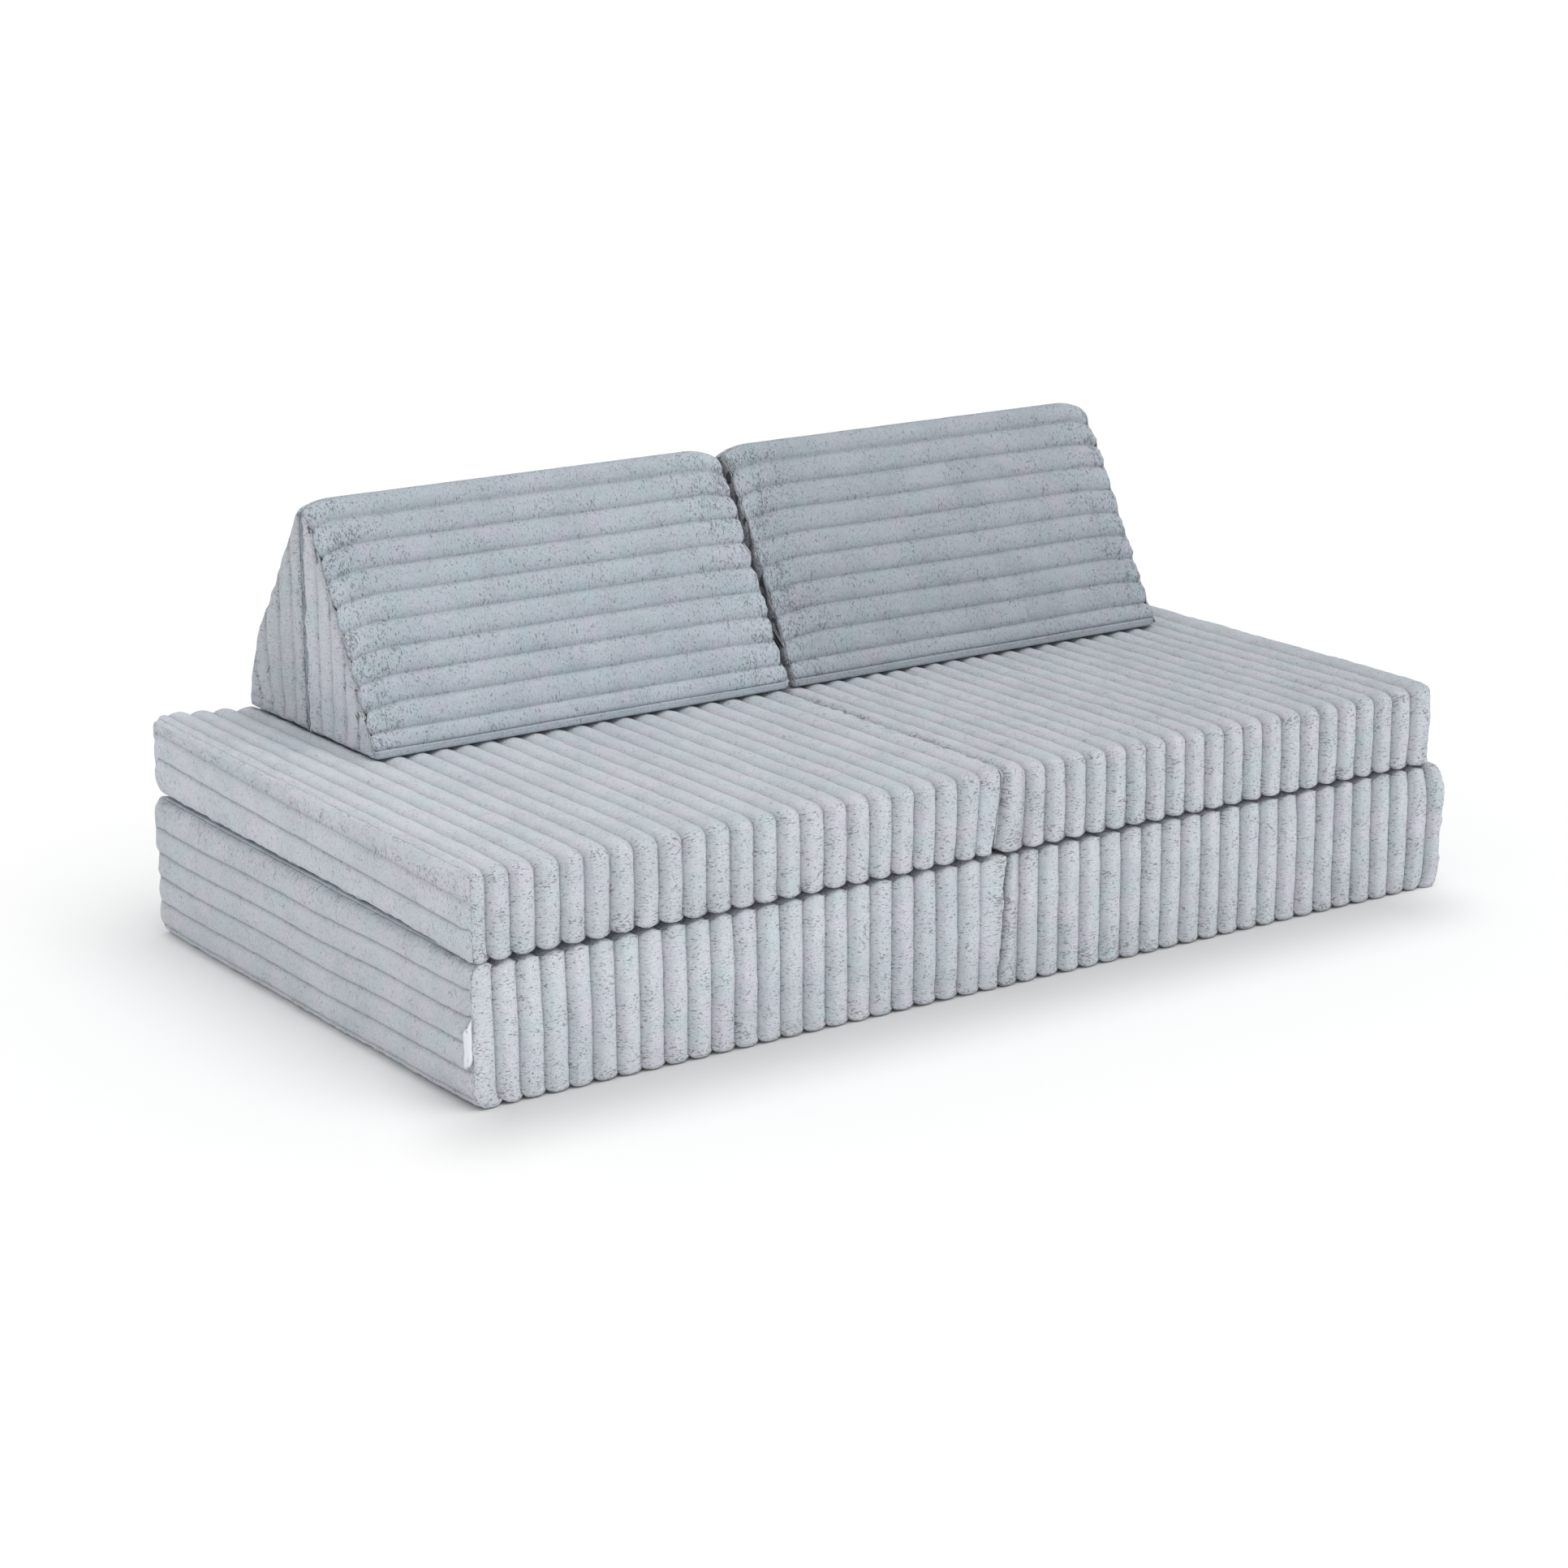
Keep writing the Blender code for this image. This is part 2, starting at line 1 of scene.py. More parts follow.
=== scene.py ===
# %% [markdown]
# # A modular play sofa in wide-ribbed plush
#
# Four loose modules lie on each other: a thick folding base mattress, a thinner folding seat mattress,
# and two backrests, each made of two wedges that are joined along their ridge. The engineering model
# already fixes every size and every joint, so this lesson only dresses it: it loads that frame, makes a
# detailed cover for each foam block, and hides the plain solid that the cover stands for.

# %% Load the frame
import math

import bmesh
import bpy
import numpy as np
from mathutils import Matrix, Vector


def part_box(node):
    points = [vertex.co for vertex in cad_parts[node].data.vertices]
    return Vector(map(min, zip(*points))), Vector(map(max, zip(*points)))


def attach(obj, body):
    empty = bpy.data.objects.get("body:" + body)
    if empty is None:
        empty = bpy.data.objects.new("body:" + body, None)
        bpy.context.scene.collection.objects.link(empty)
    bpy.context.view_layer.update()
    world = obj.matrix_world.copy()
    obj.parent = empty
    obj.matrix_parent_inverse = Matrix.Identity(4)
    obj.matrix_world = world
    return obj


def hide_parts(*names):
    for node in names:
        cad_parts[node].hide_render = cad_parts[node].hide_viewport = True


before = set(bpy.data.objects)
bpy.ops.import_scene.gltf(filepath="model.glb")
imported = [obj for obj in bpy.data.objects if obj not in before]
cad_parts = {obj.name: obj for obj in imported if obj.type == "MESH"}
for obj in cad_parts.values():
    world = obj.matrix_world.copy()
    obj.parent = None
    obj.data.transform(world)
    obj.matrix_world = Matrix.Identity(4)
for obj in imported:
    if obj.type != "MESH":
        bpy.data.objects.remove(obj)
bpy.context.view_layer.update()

print("nodes in the frame:", len(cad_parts))

# %% [markdown]
# ## The sizes that the cloth shares
#
# The cloth's rib is the sofa's ruler: one rib is about 36 mm, and the photograph was measured in ribs.
# Places along a mattress are counted from its fold, so the left and the right half can share one
# recipe. Where the covers lie is read from the frame, so they sit exactly where the foam is.

# %% Shared sizes
RIB = 0.036
FACE_DEPTH = 0.0088
TOP_DEPTH = 0.0056
HALF_DEPTH = 0.450
HALF_LENGTH = 0.83
FOLD_START = 0.0012


def span(node, axis):
    """Lowest and highest coordinate of a frame node along one axis."""
    low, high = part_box(node)
    return low[axis], high[axis]


BASE_FLOOR, BASE_TOP = span("base_left_cover", 2)
SEAT_TOP = span("seat_left_cover", 2)[1]
WEDGE_FLOOR, WEDGE_TOP = span("back_left_front_cover", 2)
WEDGE_HEIGHT = WEDGE_TOP - WEDGE_FLOOR
RIDGE_Y = sum(span("back_left_ridge_tape", 1)) / 2
WEDGE_GAP = 0.0015
WEDGE_DEPTH = 0.189
PANEL_DEPTH = 0.018
STEP, RIB_STEPS, PANEL_TURN = ((0.0058, 12, 2.4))
print("seat top", round(SEAT_TOP, 4), "ridge", round(RIDGE_Y, 4), round(WEDGE_TOP, 4))

# %% [markdown]
# ## Softness from numbers
#
# Foam and plush are never quite straight. Smooth random values, looked up between the points of a small
# random lattice, give every cover its slight waves. The seed is fixed, so each run is the same. Both
# sides of a seam ask at the same place and so move together.

# %% Smooth random values
LATTICE_SIZE = 32
LATTICE_SHIFT = 7.3
LATTICES = {}


def waves(points, size, seed):
    """Smooth values between -1 and 1 at each point, with bumps about size metres wide."""
    if seed not in LATTICES:
        LATTICES[seed] = np.random.default_rng(seed).uniform(-1.0, 1.0, (LATTICE_SIZE,) * 3)
    scaled = points / size + LATTICE_SHIFT
    cell = np.floor(scaled).astype(int)
    part = scaled - cell
    part = part * part * (3.0 - 2.0 * part)
    total = np.zeros(len(points))
    for step in np.ndindex(2, 2, 2):
        weight = np.where(step, part, 1.0 - part)
        total += weight.prod(axis=1) * LATTICES[seed][tuple(((cell + step) % LATTICE_SIZE).T)]
    return total


def layered(points, layers, seed):
    """Waves on waves, each layer with its height and its width."""
    return sum(height * waves(points, width, seed + k) for k, (height, width) in enumerate(layers))


def ease(values, low, high):
    """A smooth step from 0 at low to 1 at high."""
    t = np.clip((values - low) / (high - low), 0.0, 1.0)
    return t * t * (3.0 - 2.0 * t)


def between(first, second, share):
    """The first value where share is 0, the second where it is 1."""
    return first * (1.0 - share) + second * share


def fading(distance, reach):
    """1 at a seam, fading out over a reach."""
    return np.exp(-distance / reach)


def bump(distance, width):
    """A rounded hump, 1 at its middle."""
    return np.exp(-((distance / width) ** 2))


def points_at(x, y, z):
    """One row of three values for each point."""
    return np.stack(np.broadcast_arrays(x, y, z), axis=1)


def sag(points, depth, width, seed):
    """Shallow hollows, depth on average."""
    return depth * (1.0 + waves(points, width, seed))


CLUMPS = ((0.0008, 0.010), (0.0008, 0.028))
SEAM_CLUMPS = ((0.0024, 0.009), (0.0018, 0.020))


def tufts(points, seam, seed):
    """How far the pile sinks or rises: small clumps everywhere, and coarse ones along the seams."""
    return layered(points, CLUMPS, seed) + seam * layered(points, SEAM_CLUMPS, seed + len(CLUMPS))


print("one wave value:", round(float(waves(np.array([[0.1, 0.2, 0.3]]), 0.05, 1)[0]), 3))

# %% [markdown]
# ## What a rib looks like in section
#
# Each rib of this cloth is a soft roll, and the groove between two rolls is a narrow dark line. On the
# upright faces the rolls are full and their flanks steep; on top, where people sit, they are pressed to
# low soft waves. So each point across the ribs only remembers how near it lies to a groove, from 0 on
# the crown to 1 in the groove, with a sign for its flank, and the height follows from that by two
# powers, which give each kind of rib its shape: a high first one keeps the crown flat, a low second one
# makes the flanks steep. A rib next to a seam has only one groove: on the other side it runs on over the
# rounded edge.

# %% The rib profile
FULL_ROLL = (2.1, 0.58)
LOW_WAVE = (1.7, 1.0)
SOFT_ROLL = (3.2, 1.0)
TIGHT_ROLL = (2.8, 0.52)


def cosine_steps(low, high, count):
    """Shares and places between two grooves, closer together near each groove."""
    shares = [(1.0 - math.cos(math.pi * k / count)) / 2.0 for k in range(1, count + 1)]
    return [(share, low + (high - low) * share) for share in shares]


def rib_places(edges, steps=RIB_STEPS):
    """Places across a row of ribs, and how near each lies to a groove: below nothing on the first
    flank of a rib, above nothing on its second. The outermost edges are seams, the others grooves."""
    places, valley = [edges[0]], [0.0]
    last = len(edges) - 2
    for index, (low, high) in enumerate(zip(edges, edges[1:])):
        for share, place in cosine_steps(low, high, max(4, round(steps * (high - low) / RIB))):
            if index == 0:
                share = min(0.5, (high - place) / RIB)
            elif index == last:
                share = min(0.5, (place - low) / RIB)
            places.append(place)
            valley.append(2.0 * share - 1.0)
    return np.array(places), np.array(valley)


def rib_height(valley, shape):
    """Height of a rib from 0 in the groove to 1 on the crown."""
    flat, steep = shape
    return (1.0 - np.clip(np.abs(valley), 0.0, 1.0) ** flat) ** steep


print("three ribs take", len(rib_places([0.0, RIB, 2 * RIB, 3 * RIB])[0]), "rows")

# %% [markdown]
# ## Sections as closed paths
#
# A cover is a sheet that goes once round a foam block. Its section is a closed path, and each point of
# the path knows the direction out of the cushion, so that ribs can rise and seams can sink along it.

# %% Paths round a block
PATH_STEP = 0.0008
PATH_REACH = 4


def arc(centre, radius, start, stop, count):
    """Points on an arc, angles in degrees."""
    angles = np.radians(np.linspace(start, stop, count + 1))
    return [(centre[0] + radius * math.cos(a), centre[1] + radius * math.sin(a)) for a in angles]


class Path:
    """A path through points; at(s) gives the place and the outward direction at a length s."""

    def __init__(self, points):
        points = np.array(points)
        steps = np.hypot(*(points[1:] - points[:-1]).T)
        self.marks = np.concatenate([[0.0], np.cumsum(steps)])
        self.length = float(self.marks[-1])
        self.s = np.linspace(0.0, self.length, int(self.length / PATH_STEP) + 2)
        self.a, self.b = (np.interp(self.s, self.marks, side) for side in points.T)
        ahead_a, ahead_b = (
            np.roll(side[:-1], -PATH_REACH) - np.roll(side[:-1], PATH_REACH) for side in (self.a, self.b)
        )
        size = np.hypot(ahead_a, ahead_b)
        self.out_a = np.append(-ahead_b / size, -ahead_b[0] / size[0])
        self.out_b = np.append(ahead_a / size, ahead_a[0] / size[0])

    def at(self, s):
        place = np.stack([np.interp(s, self.s, self.a), np.interp(s, self.s, self.b)], axis=1)
        out = np.stack([np.interp(s, self.s, self.out_a), np.interp(s, self.s, self.out_b)], axis=1)
        out /= np.linalg.norm(out, axis=1, keepdims=True)
        return place, out


def even(start, stop, step):
    """Places from start to stop, about a step apart."""
    return np.linspace(start, stop, max(2, int(round((stop - start) / step)) + 1))


print("a quarter arc has", len(arc((0, 0), 1.0, 0, 90, 8)), "points")

# %% [markdown]
# ## Rounded sewn edges
#
# Where a cover meets an end panel, both sheets roll over the same rounded edge and meet half way round
# it. One formula serves both: a point near the sharp edge is pulled onto a circle about the edge's inner
# line. It tells how far the point sinks, how far it moves away from the edge, and how the direction out
# of the cushion leans over.

# %% Rolling over an edge


def roll(distance, radius):
    """Sink, move, and the shares of the own face's and the other face's direction."""
    left = np.clip(radius - distance, 0.0, radius)
    size = np.sqrt(left * left + radius * radius)
    return radius * (1.0 - radius / size), left * (1.0 - radius / size), radius / size, left / size


print("at its seam a 22 mm edge sinks", round(float(roll(0.0, 0.022)[0]) * 1000, 1), "mm")

# %% [markdown]
# ## From a flat grid to a cover
#
# The sheet starts as a flat bmesh grid and every vertex is moved to its place round the block. This is quicker
# than sculpting and keeps the rows of vertices running along the ribs. Each vertex carries what the material
# asks for: how high it lies on its rib, how crushed the pile is there, how much painted light and shade it
# gets, and where it lies on the unrolled cloth.

# %% Sheets and their ends


def lay_grid(rows, columns):
    """A flat bmesh grid and, for each vertex, its row and its column."""
    bm = bmesh.new()
    bmesh.ops.create_grid(bm, x_segments=rows - 1, y_segments=columns - 1, size=0.5)
    flat = np.array([v.co[:] for v in bm.verts])
    row = np.rint((flat[:, 0] + 0.5) * (rows - 1)).astype(int)
    column = np.rint((flat[:, 1] + 0.5) * (columns - 1)).astype(int)
    return bm, row, column


def close_ends(bm):
    """Fills the open ends with a fan of faces."""
    edges = [e for e in bm.edges if e.is_boundary]
    if edges:
        filled = bmesh.ops.edgeloop_fill(bm, edges=edges)["faces"]
        bmesh.ops.poke(bm, faces=filled)


def place_in_scene(name, data):
    piece = bpy.data.objects.new(name, data)
    bpy.context.scene.collection.objects.link(piece)
    return piece


def object_of(bm, name, material):
    """Makes a smooth object of a bmesh."""
    mesh = bpy.data.meshes.new(name)
    bm.to_mesh(mesh)
    bm.free()
    mesh.polygons.foreach_set("use_smooth", [True] * len(mesh.polygons))
    mesh.materials.append(material)
    return place_in_scene(name, mesh)


def closed_object(bm, name, material):
    """Joins the sheet's long edges, fills its ends and makes the object."""
    bmesh.ops.remove_doubles(bm, verts=bm.verts, dist=0.00002)
    close_ends(bm)
    bmesh.ops.recalc_face_normals(bm, faces=bm.faces)
    return object_of(bm, name, material)


def sheet_object(bm, name, material, points, rib, crush, tone, lie):
    """Moves the vertices and stores what the plush needs to know: height on the rib, how crushed the pile is,
    its painted light and shade, and the place on the unrolled cloth, across and along the ribs."""
    layers = [bm.verts.layers.float.new(label) for label in ("rib", "crush", "tone")]
    cloth = bm.verts.layers.float_vector.new("lie")
    values = np.stack(np.broadcast_arrays(*points.T, rib, crush, tone, *lie), axis=1).tolist()
    for vert, row in zip(bm.verts, values):
        vert.co = row[:3]
        vert[cloth] = row[6:]
        for layer, value in zip(layers, row[3:6]):
            vert[layer] = value
    piece = closed_object(bm, name, material)
    print(piece.name, len(piece.data.polygons), "faces")
    return piece


print("sheet helpers ready")

# %% [markdown]
# ## Shader maths written as sums
#
# A node tree for plush needs a good deal of arithmetic. A small class wraps a socket, so that an
# expression such as 1 - mask adds the Math nodes by itself. Colours are mixed by Mix nodes, because a
# Math node would turn them grey.

# %% A wrapper for sockets


class Wire:
    """A socket that can be added, subtracted, multiplied and raised to a power."""

    def __init__(self, tree, socket):
        self.tree = tree
        self.socket = socket

    def maths(self, operation, first, second):
        node = self.tree.nodes.new("ShaderNodeMath")
        node.operation = operation
        for slot, value in zip(node.inputs, (first, second)):
            if isinstance(value, Wire):
                self.tree.links.new(value.socket, slot)
            else:
                slot.default_value = value
        return Wire(self.tree, node.outputs[0])


def overload(name, operation):
    """Gives Wire an operator and its reflected form, so that 1 - mask works too."""
    setattr(Wire, f"__{name}__", lambda self, other: self.maths(operation, self, other))
    setattr(Wire, f"__r{name}__", lambda self, other: self.maths(operation, other, self))


for name, operation in {"add": "ADD", "sub": "SUBTRACT", "mul": "MULTIPLY", "pow": "POWER"}.items():
    overload(name, operation)


class Finish:
    """A new material with a Principled shader, and one method that adds any node."""

    def __init__(self, name, **constants):
        self.material = bpy.data.materials.new(name)
        self.material.use_nodes = True
        self.tree = self.material.node_tree
        self.shader = self.tree.nodes["Principled BSDF"]
        for label, value in constants.items():
            self.shader.inputs[label.replace("_", " ")].default_value = value

    def node(self, kind, settings=None, output=0, **values):
        """Adds a node. Its sockets are named with _ for a space, or i and their number."""
        made = self.tree.nodes.new(kind)
        for label, value in (settings or {}).items():
            setattr(made, label, value)
        for label, value in values.items():
            slot = made.inputs[int(label[1:]) if label[1:].isdigit() else label.replace("_", " ")]
            if isinstance(value, Wire):
                self.tree.links.new(value.socket, slot)
            else:
                slot.default_value = value
        return Wire(self.tree, made.outputs[output])

    def apart(self, vector):
        """The three parts of a vector."""
        split = self.node("ShaderNodeSeparateXYZ", Vector=vector).socket.node
        return [Wire(self.tree, socket) for socket in split.outputs]

    def feed(self, label, wire):
        self.tree.links.new(wire.socket, self.shader.inputs[label])

    def blend(self, amount, first, second, how="MIX"):
        """Mixes two colours."""
        return self.node(
            "ShaderNodeMix", {"data_type": "RGBA", "blend_type": how}, output=2, i0=amount, i6=first, i7=second
        )

    def steps(self, wire, low, high):
        """A smooth step between two values."""
        return self.node(
            "ShaderNodeMapRange", {"interpolation_type": "SMOOTHSTEP"}, Value=wire, From_Min=low, From_Max=high
        )

    def noise(self, where, scale, detail, roughness=0.5):
        return self.node("ShaderNodeTexNoise", Vector=where, Scale=scale, Detail=detail, Roughness=roughness)

    def stored(self, label, output=2):
        """A value that the cover's vertices carry."""
        return self.node("ShaderNodeAttribute", {"attribute_name": label}, output=output)

    def place(self):
        """The place on the object itself."""
        return self.node("ShaderNodeTexCoord", output=3)

    def relief(self, height, distance, strength):
        return self.node("ShaderNodeBump", Height=height, Distance=distance, Strength=strength)


def grey(value):
    return (value, value, value, 1.0)


print("shader helper ready")

# %% [markdown]
# ## The plush
#
# The pile is short and dense: from a step away the colour is an even pale grey-blue, with faint cloudy patches
# where it is brushed one way or the other, and small dark strokes where the tufts part. The strokes lie across
# the ribs and gather where the cloth is bent or sewn. The flanks and roots of the ribs are darkened as painted
# shade, each cover carries its own painted light and shade by place, and the backrests' slopes get a bluer copy
# of the plush as painted shade. The tufts are relief on the normal, as hairs by the million would be too heavy.
# All patterns are laid out on the unrolled cloth.

# %% Plush material
PLUSH_LIGHT = (0.730, 0.768, 0.822, 1.0)
PLUSH_DEEP = (0.645, 0.692, 0.745, 1.0)
PLUSH_ROSE = (0.748, 0.736, 0.822, 1.0)
PLUSH_SEA = (0.648, 0.752, 0.788, 1.0)
STROKE_SHAPE = (1.0, 2.2, 1.0)
# Painted shade: a bluer cast for the copy of the plush on the backrests' slopes.
SLOPE_SHADE_CAST = (0.998, 1.033, 1.065)


def make_plush(name="plush", cast=(1.0, 1.0, 1.0)):
    light, deep, warm, cool = (
        (*(part * share for part, share in zip(shade, cast)), 1.0)
        for shade in (PLUSH_LIGHT, PLUSH_DEEP, PLUSH_ROSE, PLUSH_SEA)
    )
    cloth = Finish(name, Roughness=0.94, Sheen_Weight=0.12, Sheen_Roughness=0.5)
    lie = cloth.stored("lie", output=1)
    rib, crush, tone = (cloth.stored(label) for label in ("rib", "crush", "tone"))
    strokes = cloth.node("ShaderNodeVectorMath", {"operation": "MULTIPLY"}, i0=lie, i1=STROKE_SHAPE)
    cloud = cloth.noise(lie, 11.0, 5.0, 0.6)
    rose = cloth.noise(lie, 23.0, 3.0, 0.55)
    tuft = cloth.noise(strokes, 170.0, 4.0, 0.68)
    fibre = cloth.noise(lie, 520.0, 2.0, 0.7)
    pit = cloth.noise(strokes, 245.0, 2.0, 0.6)
    zone = cloth.noise(lie, 34.0, 3.0, 0.6)
    colour = cloth.blend(cloth.steps(cloud, 0.36, 0.64), deep, light)
    colour = cloth.blend(cloth.steps(rose, 0.52, 0.68) * 0.75, colour, warm)
    colour = cloth.blend((1.0 - cloth.steps(rose, 0.32, 0.48)) * 0.75, colour, cool)
    shade = (0.88 + cloth.steps(fibre, 0.30, 0.70) * 0.18) * (0.89 + cloth.steps(tuft, 0.32, 0.60) * 0.13)
    reach = cloth.steps(zone, 0.46, 0.66) * (0.030 + crush * 0.060) + crush * 0.060
    hole = 1.0 - cloth.steps(pit - reach, 0.270, 0.350)
    shade = shade * (1.0 - hole * 0.46)
    # Painted shade: the roots and flanks of the ribs are darkened by their height on the rib.
    shade = shade * (0.66 + cloth.steps(rib, -0.05, 0.20) * 0.20 + cloth.steps(rib, 0.10, 0.90) * 0.14)
    # Painted light and shade that each cover carries.
    shade = shade * tone
    tint = cloth.node("ShaderNodeCombineColor", Red=shade, Green=shade, Blue=shade)
    cloth.feed("Base Color", cloth.blend(1.0, colour, tint, "MULTIPLY"))
    lift = fibre * 0.35 + tuft * 1.3 - hole * 0.9
    cloth.feed("Normal", cloth.relief(lift, 0.0030, 0.85))
    return cloth.material


plush = make_plush()
shaded_slope_plush = make_plush("plush of the slopes", SLOPE_SHADE_CAST)
print("plush has", len(plush.node_tree.nodes), "nodes")

# %% [markdown]
# ## The smaller finishes
#
# The faces inside the folds are plain woven cloth, the zip is a woven tape with satin metal parts, the
# foam is open-celled, and the tag is a blank satin ribbon.

# %% Cloth, tape, metal, foam and ribbon finishes


def make_weave(name, light, dark, threads, roughness):
    """Plain weave: two crossed waves, thread by thread."""
    cloth = Finish(name, Roughness=roughness, Sheen_Weight=0.1)
    place = cloth.place()
    x, y, z = cloth.apart(place)
    turn = 2.0 * math.pi * threads
    one = cloth.node("ShaderNodeMath", {"operation": "SINE"}, i0=(x + y * 0.37) * turn)
    two = cloth.node("ShaderNodeMath", {"operation": "SINE"}, i0=(z + y * 0.63) * turn)
    thread = one * two
    cloud = cloth.noise(place, 30.0, 4.0)
    mask = cloth.steps(thread * 0.5 + cloud, 0.0, 1.0)
    cloth.feed("Base Color", cloth.blend(mask, dark, light))
    cloth.feed("Normal", cloth.relief(thread, 0.0002, 0.6))
    return cloth.material


plain_cloth = make_weave("plain cloth", (0.52, 0.56, 0.61, 1.0), (0.42, 0.46, 0.51, 1.0), 900.0, 0.85)
zip_tape_cloth = make_weave("zip tape", (0.42, 0.455, 0.50, 1.0), (0.33, 0.365, 0.41, 1.0), 1100.0, 0.8)


def make_foam():
    block = Finish("foam", Roughness=0.95)
    place = block.place()
    cell = block.node("ShaderNodeTexVoronoi", Vector=place, Scale=700.0)
    cloud = block.noise(place, 9.0, 3.0)
    tone = block.blend(block.steps(cloud, 0.3, 0.7), (0.78, 0.73, 0.57, 1.0), (0.86, 0.82, 0.68, 1.0))
    block.feed("Base Color", block.blend(block.steps(cell, 0.0, 0.5) * 0.5, (0.60, 0.55, 0.40, 1.0), tone))
    block.feed("Normal", block.relief(cell, 0.0006, 0.8))
    return block.material


def make_metal():
    metal = Finish("zip metal", Metallic=0.85)
    place = metal.place()
    wear = metal.noise(place, 400.0, 4.0)
    worn = metal.steps(wear, 0.35, 0.7)
    metal.feed("Base Color", metal.blend(worn, (0.50, 0.51, 0.53, 1.0), (0.66, 0.67, 0.69, 1.0)))
    metal.feed("Roughness", 0.28 + worn * 0.2)
    metal.feed("Normal", metal.relief(wear, 0.0001, 0.4))
    return metal.material


def make_ribbon():
    ribbon = Finish("blank ribbon", Roughness=0.5, Sheen_Weight=0.2)
    place = ribbon.place()
    thread = ribbon.node("ShaderNodeTexWave", {"bands_direction": "Z"}, output=1, Vector=place, Scale=320.0)
    cloud = ribbon.noise(place, 60.0, 3.0)
    ribbon.feed("Base Color", ribbon.blend(cloud, (0.80, 0.84, 0.90, 1.0), (0.88, 0.90, 0.94, 1.0)))
    ribbon.feed("Normal", ribbon.relief(thread, 0.0001, 0.5))
    return ribbon.material


foam = make_foam()
zip_metal = make_metal()
blank_ribbon = make_ribbon()
print("finishes:", [m.name for m in (plain_cloth, zip_tape_cloth, foam, zip_metal, blank_ribbon)])

# %% [markdown]
# ## The mattress covers
#
# On a mattress the ribs run from front to rear and wrap over both edges. The sheet's rows lie across the
# ribs and its columns follow the section: up the front face, over the top, down the rear face to a plain
# band with the zip, and back along the flat underside. Towards its outer end the band fades into the
# plain section, so that the sleeve and the end panel share one outline.

# %% Mattress section
BAND_RECESS = 0.007
BAND_HEIGHT = 0.046
ZIP_CENTRE = 0.028
CHANNEL_HALF = 0.011
CHANNEL_DEPTH = 0.005
REAR_ROUND = 0.009
UNDER_EDGE = 0.06
UNDER_STEP = 0.045


def mattress_path(floor, top, high_round, low_round, with_band):
    """The section, clockwise from the middle of the underside."""
    front, rear = -HALF_DEPTH, HALF_DEPTH
    band = rear - BAND_RECESS if with_band else rear
    channel = band - CHANNEL_DEPTH if with_band else rear
    rear_round = REAR_ROUND if with_band else high_round
    low, high = floor + ZIP_CENTRE - CHANNEL_HALF, floor + ZIP_CENTRE + CHANNEL_HALF
    points = [(0.0, floor)]
    points += arc((front + low_round, floor + low_round), low_round, 270, 180, 8)
    points += arc((front + high_round, top - high_round), high_round, 180, 90, 10)
    points += arc((rear - rear_round, top - rear_round), rear_round, 90, 0, 10)
    points += [(rear, floor + BAND_HEIGHT + 0.006), (band, floor + BAND_HEIGHT), (band, high + 0.001)]
    points += [(channel, high), (channel, low), (band, low - 0.0005)]
    points += arc((band - low_round, floor + low_round), low_round, 0, -90, 8)
    points += [(0.0, floor)]
    return Path(points)


def mattress_columns(path, step):
    """Lengths round the section: close together where it is ribbed, wide apart underneath."""
    half_floor = HALF_DEPTH - UNDER_EDGE
    under = even(0.0, half_floor, UNDER_STEP)
    ribbed = even(half_floor, path.length - half_floor, step)
    last = even(path.length - half_floor, path.length, UNDER_STEP)
    return np.concatenate([under, ribbed[1:], last[1:]])


def groove_edges(start, end, first, pitch):
    """Seam, grooves and seam again, counted from the fold."""
    edges = [start]
    at = first
    while at < end - 0.4 * pitch:
        edges.append(at)
        at += pitch
    return edges + [end]


def quarter(distance, depth, reach):
    """How far a rounded edge lies back: depth at the edge itself, nothing from reach onwards."""
    return depth * (1.0 - np.sqrt(1.0 - np.clip(1.0 - distance / reach, 0.0, 1.0) ** 2))


test_path = mattress_path(BASE_FLOOR, BASE_TOP, 0.018, 0.014, True)
print("once round the base:", round(test_path.length, 3), "m")
